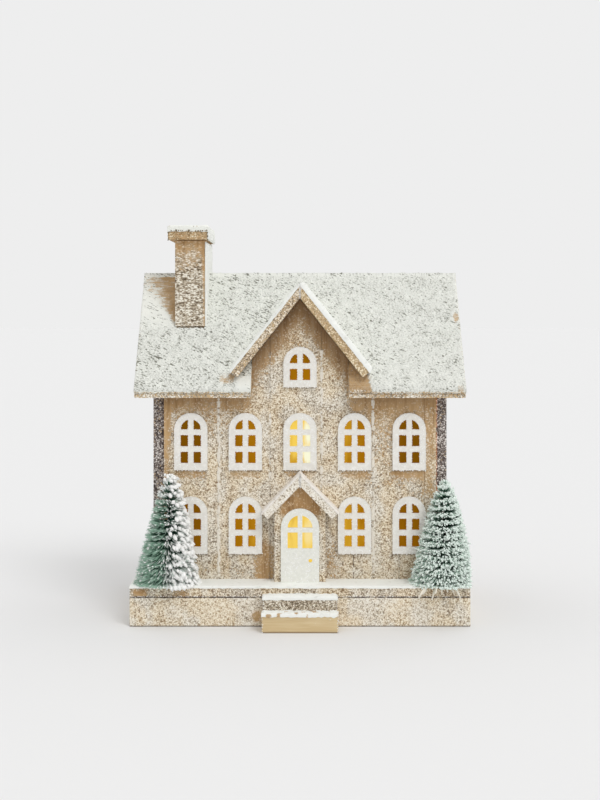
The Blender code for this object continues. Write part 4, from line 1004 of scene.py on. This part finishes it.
def dress_small_roofs():
    """The boards of the gable's and the porch's roof with their snow, and the porch panel."""
    gable_snow = snow_look("gable_snow", pit=CLEAN_PIT, top=CLEAN_SNOW)
    porch_snow = snow_look("porch_snow", pit=srgb(206, 192, 178), top=srgb(245, 239, 231))
    for number, (name, (cover, spray, thick)) in enumerate(SMALL_ROOFS.items()):
        gable = name.startswith("gable")
        slope, shift, rough, rim, keep, snow = (
            (RAKE_SLOPE, 0.0, 0.0010, 0.0015, above_roof, gable_snow) if gable
            else (PORCH_SLOPE, 0.12, 0.0009, 0.0006, None, porch_snow))
        left = name.endswith("left")
        wear(name, sprayed_wood(f"{name}_wood", "X", cover, turn=slope if left else -slope,
                                tones=WOOD_PALE, spray=spray, size=BOARD_SPRAY_SIZE,
                                shift=shift))
        low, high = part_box(name)
        tip = low.x if left else high.x
        down = Vector((tip, 0, -abs(tip) * math.tan(slope)))
        back = Vector((0, high.y - low.y, 0))
        across, along = (back, down) if left else (down, back)
        relief_sheet(f"{name}_snow", (0, low.y, high.z), across, along,
                     Layer(0.0006, thick, rough), snow,
                     partial(snow_relief, size=0.0026, seed=20 + number),
                     keep=keep, rim=rim, skirt=(0, 0, -0.0012))
    wear("porch_panel", sprayed_wood("porch_panel_wood", "Z", 1.15,
                                     partial(Shade.patches, places=BARE_AND_SHADED_PORCH),
                                     tones=WOOD_PORCH, shift=-0.05))


def bare_shaft(m):
    """Wood at the top of the chimney's shaft and along its right edge."""
    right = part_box("chimney_shaft")[1].x
    _, _, z = m.split()
    edge = m.patch(right - 0.0020, right, 0.20, 0.30, 0.0016)
    return 0.50 * m.smooth(z, 0.244, 0.272) + 0.42 * m.smooth(z, 0.272, 0.282) + 0.85 * edge


def dress_chimney():
    """The shaft and its cap, with snow on the cap and on the right side of both."""
    wear("chimney_shaft", sprayed_wood("chimney_wood", "Z", 1.35, bare_shaft,
                                       spray=SPRAY_DARK, size=COARSE_SPRAY_SIZE,
                                       stretch=(0.6, 1, 1.25), shift=0.01))
    wear("chimney_cap", sprayed_wood("chimney_cap_wood", "X", 0.50, spray=SPRAY_GOLD,
                                     shift=-0.06))
    snow = snow_look("chimney_snow", pit=CLEAN_PIT, top=CLEAN_SNOW)
    right_sheet("chimney_side_snow", "chimney_shaft", 0.001, snow, 32)
    crumbs = snow_look("cap_crumbs", pit=srgb(84, 74, 58), top=srgb(132, 120, 98))
    edge_frost("cap_crumbs", ["chimney_cap"], 0.00060, 0.0019, 305, crumbs, upper_only=True,
               drop=0.0032)
    cap_snow = snow_look("cap_snow", pit=srgb(112, 98, 76), top=SNOW)
    top_sheet("chimney_cap_snow", "chimney_cap", CAP_LAYER, cap_snow,
              partial(snow_relief, size=0.0022, seed=31), sunk=0.001, skirt=(0, 0, -0.0034))
    right_sheet("chimney_cap_side_snow", "chimney_cap", 0.0012, snow, 33)


def front_outline(node):
    """The edges around a piece's front face, with those of its holes."""
    mesh = NODES[node].data
    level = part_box(node)[0].y + 0.0001
    sides = {}
    for polygon in mesh.polygons:
        corners = [mesh.vertices[i].co for i in polygon.vertices]
        if max(corner.y for corner in corners) > level:
            continue
        for start, end in zip(corners, corners[1:] + corners[:1]):
            key = frozenset((round(p.x, 6), round(p.z, 6)) for p in (start, end))
            sides[key] = None if key in sides else (start.copy(), end.copy())
    return [pair for pair in sides.values() if pair]


def icosahedron():
    """The twelve points of a small round blob and its twenty faces, facing outwards."""
    golden = (1 + math.sqrt(5)) / 2
    points = [Vector(np.roll((short, long, 0), turn)).normalized()
              for turn in range(3) for long in (golden, -golden) for short in (-1, 1)]
    faces = []
    for face in itertools.permutations(range(len(points)), 3):
        a, b, c = (points[i] for i in face)
        neighbours = min(a.dot(b), b.dot(c), c.dot(a)) > 0
        if neighbours and a.cross(b).dot(c) > 0 and face[0] == min(face):
            faces.append(face)
    return points, faces


BLOB_POINTS, BLOB_FACES = icosahedron()


def add_blob(vertices, faces, points):
    """Another blob in a mesh, from the places of its twelve points."""
    start = len(vertices)
    vertices.extend(points)
    faces.extend(tuple(start + i for i in face) for face in BLOB_FACES)


def add_crumb(vertices, faces, centre, size, chance):
    """A small irregular grain of frost."""
    centre = centre + Vector([chance.gauss(0, 0.35) * size for _ in range(3)])
    add_blob(vertices, faces, [centre + point * size * chance.uniform(0.75, 1.25)
                               for point in BLOB_POINTS])


def add_clump(vertices, faces, centre, along, length, width, chance):
    """An uneven blob of snow, stretched along a direction."""
    turn = along.to_track_quat("Z", "Y")
    points = []
    for point in BLOB_POINTS:
        grown = point * chance.uniform(0.75, 1.2) / 2
        points.append(centre + turn @ Vector((grown.x * width, grown.y * width,
                                              grown.z * length)))
    add_blob(vertices, faces, points)


def edge_frost(name, nodes, size, pitch, seed, look, foot_size=None, upper_only=False,
               drop=0.0):
    """Rough grains along the front outlines of some pieces, coarser on their feet."""
    chance = random.Random(seed)
    vertices, faces = [], []
    for node in nodes:
        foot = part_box(node)[0].z + 0.0001
        sides = front_outline(node)
        if upper_only:
            reaches = [(end - start).length for start, end in sides]
            heights = [(end.z + start.z) / 2 for start, end in sides]
            level = sum(r * h for r, h in zip(reaches, heights)) / sum(reaches)
            sides = [pair for pair, height in zip(sides, heights) if height > level]
        for start, end in sides:
            if max(start.z, end.z) < 0.001:
                continue
            low_edge = foot_size and max(start.z, end.z) < foot
            grain = foot_size if low_edge else size
            reach = chance.uniform(0, pitch)
            while reach < (end - start).length:
                place = start.lerp(end, reach / (end - start).length) - Vector((0, drop / 4, drop))
                add_crumb(vertices, faces, place, grain * chance.uniform(0.5, 1.3), chance)
                reach += pitch * chance.uniform(0.4, 1.8)
    loose_snow(name, vertices, faces, look)


def seam_frost(name, look):
    """Grains over the joint between the two boards at the top of each gable."""
    chance = random.Random(304)
    vertices, faces = [], []
    for node, thick in (("gable_roof_left", 0.0125), ("porch_roof_left", 0.0105)):
        low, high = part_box(node)
        for _ in range(46):
            place = Vector((chance.gauss(0, 0.0006), low.y, high.z - thick * chance.random()))
            add_crumb(vertices, faces, place, chance.uniform(0.0002, 0.0005), chance)
    loose_snow(name, vertices, faces, look)


def dress_windows():
    """White frames and door, frost on the edges of boards and frames, and the lit film."""
    paint = painted_white("window_paint", (242, 239, 232))
    for name in sorted(WINDOWS):
        wear(name, paint)
    frost = snow_look("edge_frost", pit=srgb(200, 198, 192), top=srgb(245, 243, 238))
    edge_frost("window_frost", sorted(WINDOWS), 0.00034, 0.0011, 301, frost, 0.00056)
    edge_frost("board_frost", sorted(SMALL_ROOFS), 0.00036, 0.0009, 302, frost,
               upper_only=True)
    seam_frost("apex_frost", frost)
    edge_frost("base_frost", ["base_top", "step_upper", "step_lower"], 0.00038, 0.0010, 303,
               frost)
    wear("door", painted_white("door_paint", (241, 241, 233)))
    wear("window_film", lit_film())


def lit_film():
    """Amber film that glows round both LEDs, with bright streaky spots before them."""
    m = Shade("lit_film", roughness=0.8)
    m.set("Specular IOR Level", 0.05)
    x, _, z = m.split()
    lights = []
    for name, reach in LED_REACH.items():
        led = sum(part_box(name), Vector()) / 2
        dx, dz = x - led.x, z - led.z
        lights.append(1.0 / (1.0 + (dx * dx + dz * dz) / reach ** 2))
    folds = m.noise(0.004, (1, 1, 0.3), detail=2)
    glow = m.math("MAXIMUM", *lights) * (0.66 + folds * 0.68)
    shown = FILM_DARK
    for start, end, colour in ((0.10, 0.30, (166, 110, 8)), (0.30, 0.52, (204, 152, 36)),
                               (0.52, 0.85, (251, 212, 92))):
        shown = m.mix(m.smooth(glow, start, end), shown, srgb(*colour))
    streaks = m.noise(0.0022, (1, 1, 0.25), detail=2)
    for spot_x, spot_z, wide, high, share in HOT_SPOTS:
        dx, dz = (x - spot_x) / wide, (z - spot_z) / high
        away = m.math("SQRT", dx * dx + dz * dz) + streaks * 0.9
        shown = m.mix(m.smooth(away, 1.55, 0.75) * share, shown, FILM_HOT)
    m.colour(m.mix(folds, srgb(22, 14, 4), srgb(30, 20, 6)))
    m.set("Emission Color", shown)
    m.set("Emission Strength", 0.95)
    return m


def stem_ends(stem):
    """The middle of a tree stem's foot and of its top."""
    points = np.array([v.co for v in NODES[stem].data.vertices])
    low = points[points[:, 2] < points[:, 2].min() + 1e-4].mean(axis=0)
    high = points[points[:, 2] > points[:, 2].max() - 1e-4].mean(axis=0)
    return Vector(low), Vector(high)


class Brush:
    """The room that a bottle-brush tree fills, and how its bristles point."""

    def __init__(self, name):
        self.low, self.high = stem_ends(f"{name}_stem")
        box_low, box_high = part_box(f"{name}_brush")
        self.floor = box_low.z - 0.0004
        self.foot = box_low.z + 0.0045
        self.top = box_high.z - 0.0035
        self.wall_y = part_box("window_lower_1")[0].y - 0.0006
        self.side_x = CAD_BOX[1].x - 0.0003
        self.outside = 1 if self.low.x > 0 else -1

    def axis(self, z):
        return self.low.lerp(self.high, (z - self.low.z) / (self.high.z - self.low.z))

    def share(self, z):
        return min(1.0, max(0.0, (z - self.foot) / (self.top - self.foot)))

    def radius(self, z):
        return BRUSH_RADIUS * (1 - self.share(z)) ** 0.95 + BRUSH_TIP_RADIUS

    def bristle(self, z, angle, stretch, droop):
        """Root and end of a bristle that leaves the wire at a height and an angle."""
        share = self.share(z)
        root = self.axis(z)
        tilt = math.radians(-22 + 24 * share + 62 * share ** 5 - droop)
        direction = Vector((math.cos(angle) * math.cos(tilt), math.sin(angle) * math.cos(tilt),
                            math.sin(tilt)))
        reach = self.radius(z) * stretch
        if direction.y > 0:
            reach = min(reach, (self.wall_y - root.y) / direction.y)
        if direction.x * self.outside > 0:
            reach = min(reach, (self.side_x - abs(root.x)) / abs(direction.x))
        end = root + direction * reach
        end.z = max(end.z, self.floor)
        return root, end

    def row_height(self, z, angle):
        """The nearest height at which the wire's winding holds bristles at an angle."""
        turn = angle / (2 * math.pi)
        return self.foot + (round((z - self.foot) / BRUSH_PITCH - turn) + turn) * BRUSH_PITCH


def bristle_tree(name, seed, count, right_snow):
    """A twisted bottle-brush tree: rows of bristles round a wire, snow on their ends."""
    chance = random.Random(seed)
    brush = Brush(name)
    bristles, clumps = ([], [], [], []), ([], [])
    grown = 1.0 if right_snow else 1.45
    for number in range(count):
        done = number / count
        share = 0.72 * (1 - math.sqrt(1 - done)) + 0.28 * done
        angle = number * GOLDEN_ANGLE + chance.uniform(-0.2, 0.2)
        z = brush.row_height(brush.foot + (brush.top - brush.foot) * share, angle)
        z = max(brush.foot, z + chance.gauss(0, 0.00045))
        root, end = brush.bristle(z, angle, chance.uniform(0.88, 1.03), chance.gauss(0, 3.5))
        end += Vector([chance.gauss(0, 0.0004) for _ in range(3)])
        white = snow_share(right_snow, angle, brush.share(z), chance)
        if right_snow and math.cos(angle) > 0.15 and chance.random() < 0.40:
            continue
        add_needle(bristles, root, end, BRISTLE_RADIUS, white, chance)
        if right_snow:
            clumped = white > 0.45 and chance.random() < 0.35
        else:
            clumped = white > 0.52
        if clumped:
            place = root.lerp(end, chance.uniform(0.93, 1.03))
            add_clump(*clumps, place, end - root, grown * chance.uniform(0.0012, 0.0026),
                      grown * chance.uniform(0.0007, 0.0012), chance)
    if right_snow:
        heap_right_side(clumps, brush, chance)
    heap_top(clumps, brush.high, 0.0034 if right_snow else 0.0019, chance)
    green = bristle_look(f"{name}_bristles")
    vertices, faces, pale, snowy = bristles
    piece = mesh_piece(f"{name}_bristles", vertices, faces, green, "brush_green", pale=pale,
                       snowy=snowy)
    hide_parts(f"{name}_brush")
    tints = ((234, 238, 234), (253, 253, 251)) if right_snow else ((204, 224, 210), (238, 248, 241))
    flock = snow_look(f"{name}_flock", pit=srgb(*tints[0]), top=srgb(*tints[1]))
    loose_snow(f"{name}_flock", *clumps, flock)
    if not right_snow:
        add_straws(f"{name}_straws", brush, chance)


def heap_top(clumps, tip, size, chance):
    """A round heap of snow on the tree's tip."""
    for _ in range(44):
        place = tip + Vector([chance.gauss(0, size / 2.1), chance.gauss(0, size / 2.1),
                              chance.uniform(-2.4, 0.3) * size])
        add_clump(*clumps, place, Vector((0, 0, 1)), size * chance.uniform(0.7, 1.1),
                  size * chance.uniform(0.6, 0.9), chance)


def heap_right_side(clumps, brush, chance):
    """Thick snow on the ends of the bristles that point right, in slanting blobs."""
    z = brush.foot
    while z < brush.high.z - 0.004:
        radius = brush.radius(z)
        angle = math.radians(-84) + chance.uniform(0, 0.3)
        while angle < math.radians(64):
            height = brush.row_height(z, angle) + chance.gauss(0, 0.0007)
            root, end = brush.bristle(max(brush.foot, height), angle,
                                      chance.uniform(0.97, 1.06), chance.uniform(2, 16))
            edge = smoothstep(math.cos(angle), 0.15, 0.6)
            if chance.random() < 0.55 + 0.45 * edge:
                slant = end - root + Vector((0.3, 0, -0.6)) * radius
                place = end + slant.normalized() * 0.0006
                add_clump(*clumps, place, slant, chance.uniform(0.0040, 0.0068),
                          chance.uniform(0.0023, 0.0034), chance)
            angle += chance.uniform(0.0022, 0.0038) / radius
        z += BRUSH_PITCH * 0.80


def add_straws(name, brush, chance):
    """Bare cream bristles that hang over the front of the base at the tree's foot."""
    straws = ([], [], [], [])
    for number in range(STRAW_COUNT):
        root = brush.axis(brush.foot + chance.uniform(0.000, 0.004))
        sideways = -0.0200 + 0.0042 * number + chance.uniform(-0.0020, 0.0020)
        end = Vector((root.x + sideways, BASE_EDGE_Y - chance.uniform(0.0095, 0.0125),
                      chance.uniform(0.0215, 0.0285)))
        add_needle(straws, root, end, STRAW_RADIUS, 0.5, chance, arch=0.10)
    vertices, faces, pale, snowy = straws
    m = Shade(name, roughness=0.8)
    m.colour(m.mix(m.noise(0.002, detail=2), srgb(246, 236, 214), srgb(254, 250, 240)))
    mesh_piece(name, vertices, faces, m, "brush_green", pale=pale, snowy=snowy)


def snow_share(right_snow, angle, share, chance):
    """How white a bristle's end is: one tree caught the spray on its right and its top."""
    if right_snow:
        lit = smoothstep(math.cos(angle) + 0.35 * max(0.0, -math.sin(angle)), 0.10, 0.55)
        whole = max(lit, smoothstep(share, 0.70, 0.86))
        frosted = 0.62 if chance.random() < 0.3 else 0.1
        return float(frosted + (1 - frosted) * whole) * chance.uniform(0.5, 1.0)
    return chance.uniform(0.2, 0.95) + 0.12 * math.cos(angle)


def add_needle(bristles, root, end, radius, white, chance, arch=-0.04):
    """A thin three-sided bristle whose sprayed end is thicker and paler."""
    vertices, faces, pale, snowy = bristles
    along = (end - root).normalized()
    side = along.orthogonal().normalized() * radius
    other = along.cross(side.normalized()) * radius
    start = len(vertices)
    sag = Vector((0, 0, arch * (end - root).length))
    tone = chance.uniform(-0.1, 0.3)
    rings = ((0.0, 1.0, 0.0, 0.0), (0.58, 1.0, 0.22 + tone, 0.0),
             (0.84, 1.0 + 0.9 * white, 0.6 + tone, white), (1.0, 0.7 + 0.6 * white, 1.0, white))
    for share, grow, paleness, snow in rings:
        place = root.lerp(end, share) + sag * math.sin(math.pi * share)
        for k in range(3):
            angle = 2 * math.pi * k / 3
            vertices.append(place + (side * math.cos(angle) + other * math.sin(angle)) * grow)
            pale.append(paleness)
            snowy.append(snow)
    for ring in range(len(rings) - 1):
        for k in range(3):
            n = (k + 1) % 3
            a = start + 3 * ring
            faces.append((a + k, a + n, a + 3 + n, a + 3 + k))
    last = start + 3 * (len(rings) - 1)
    faces.append((last, last + 1, last + 2))


def bristle_look(name):
    """Teal bristles, dark by the wire and paler outwards, with white sprayed ends."""
    m = Shade(name, roughness=0.7)
    tint = m.noise(0.003, detail=2)
    root = m.mix(tint, srgb(52, 96, 76), srgb(78, 130, 106))
    tip = m.mix(tint, srgb(144, 192, 166), srgb(196, 224, 206))
    green = m.mix(m.smooth(m.attribute("pale"), 0.05, 1.0), root, tip)
    snow = m.mix(tint, srgb(232, 238, 233), srgb(246, 248, 246))
    m.colour(m.mix(m.smooth(m.attribute("snowy"), 0.15, 0.85), green, snow))
    return m


def dress_small_parts():
    """Stem wires, battery case, cells, contacts, switch, screws, lamp post, LEDs, leads."""
    for name, (base, other, size, roughness, metallic, nodes) in SMALL_PARTS.items():
        m = Shade(name, roughness, metallic)
        noise = m.noise(size, detail=3)
        m.colour(m.mix(m.smooth(noise, 0.35, 0.65), srgb(*base), srgb(*other)))
        m.bump(noise, 0.0001, 0.4)
        for node in nodes:
            wear(node, m)


set_camera()
set_lamps()
set_sky()
set_floor()
dress_walls()
dress_roof()
dress_base()
dress_small_roofs()
dress_chimney()
dress_windows()
bristle_tree("tree_left", 5, LEFT_BRISTLES, True)
bristle_tree("tree_right", 6, RIGHT_BRISTLES, False)
dress_small_parts()
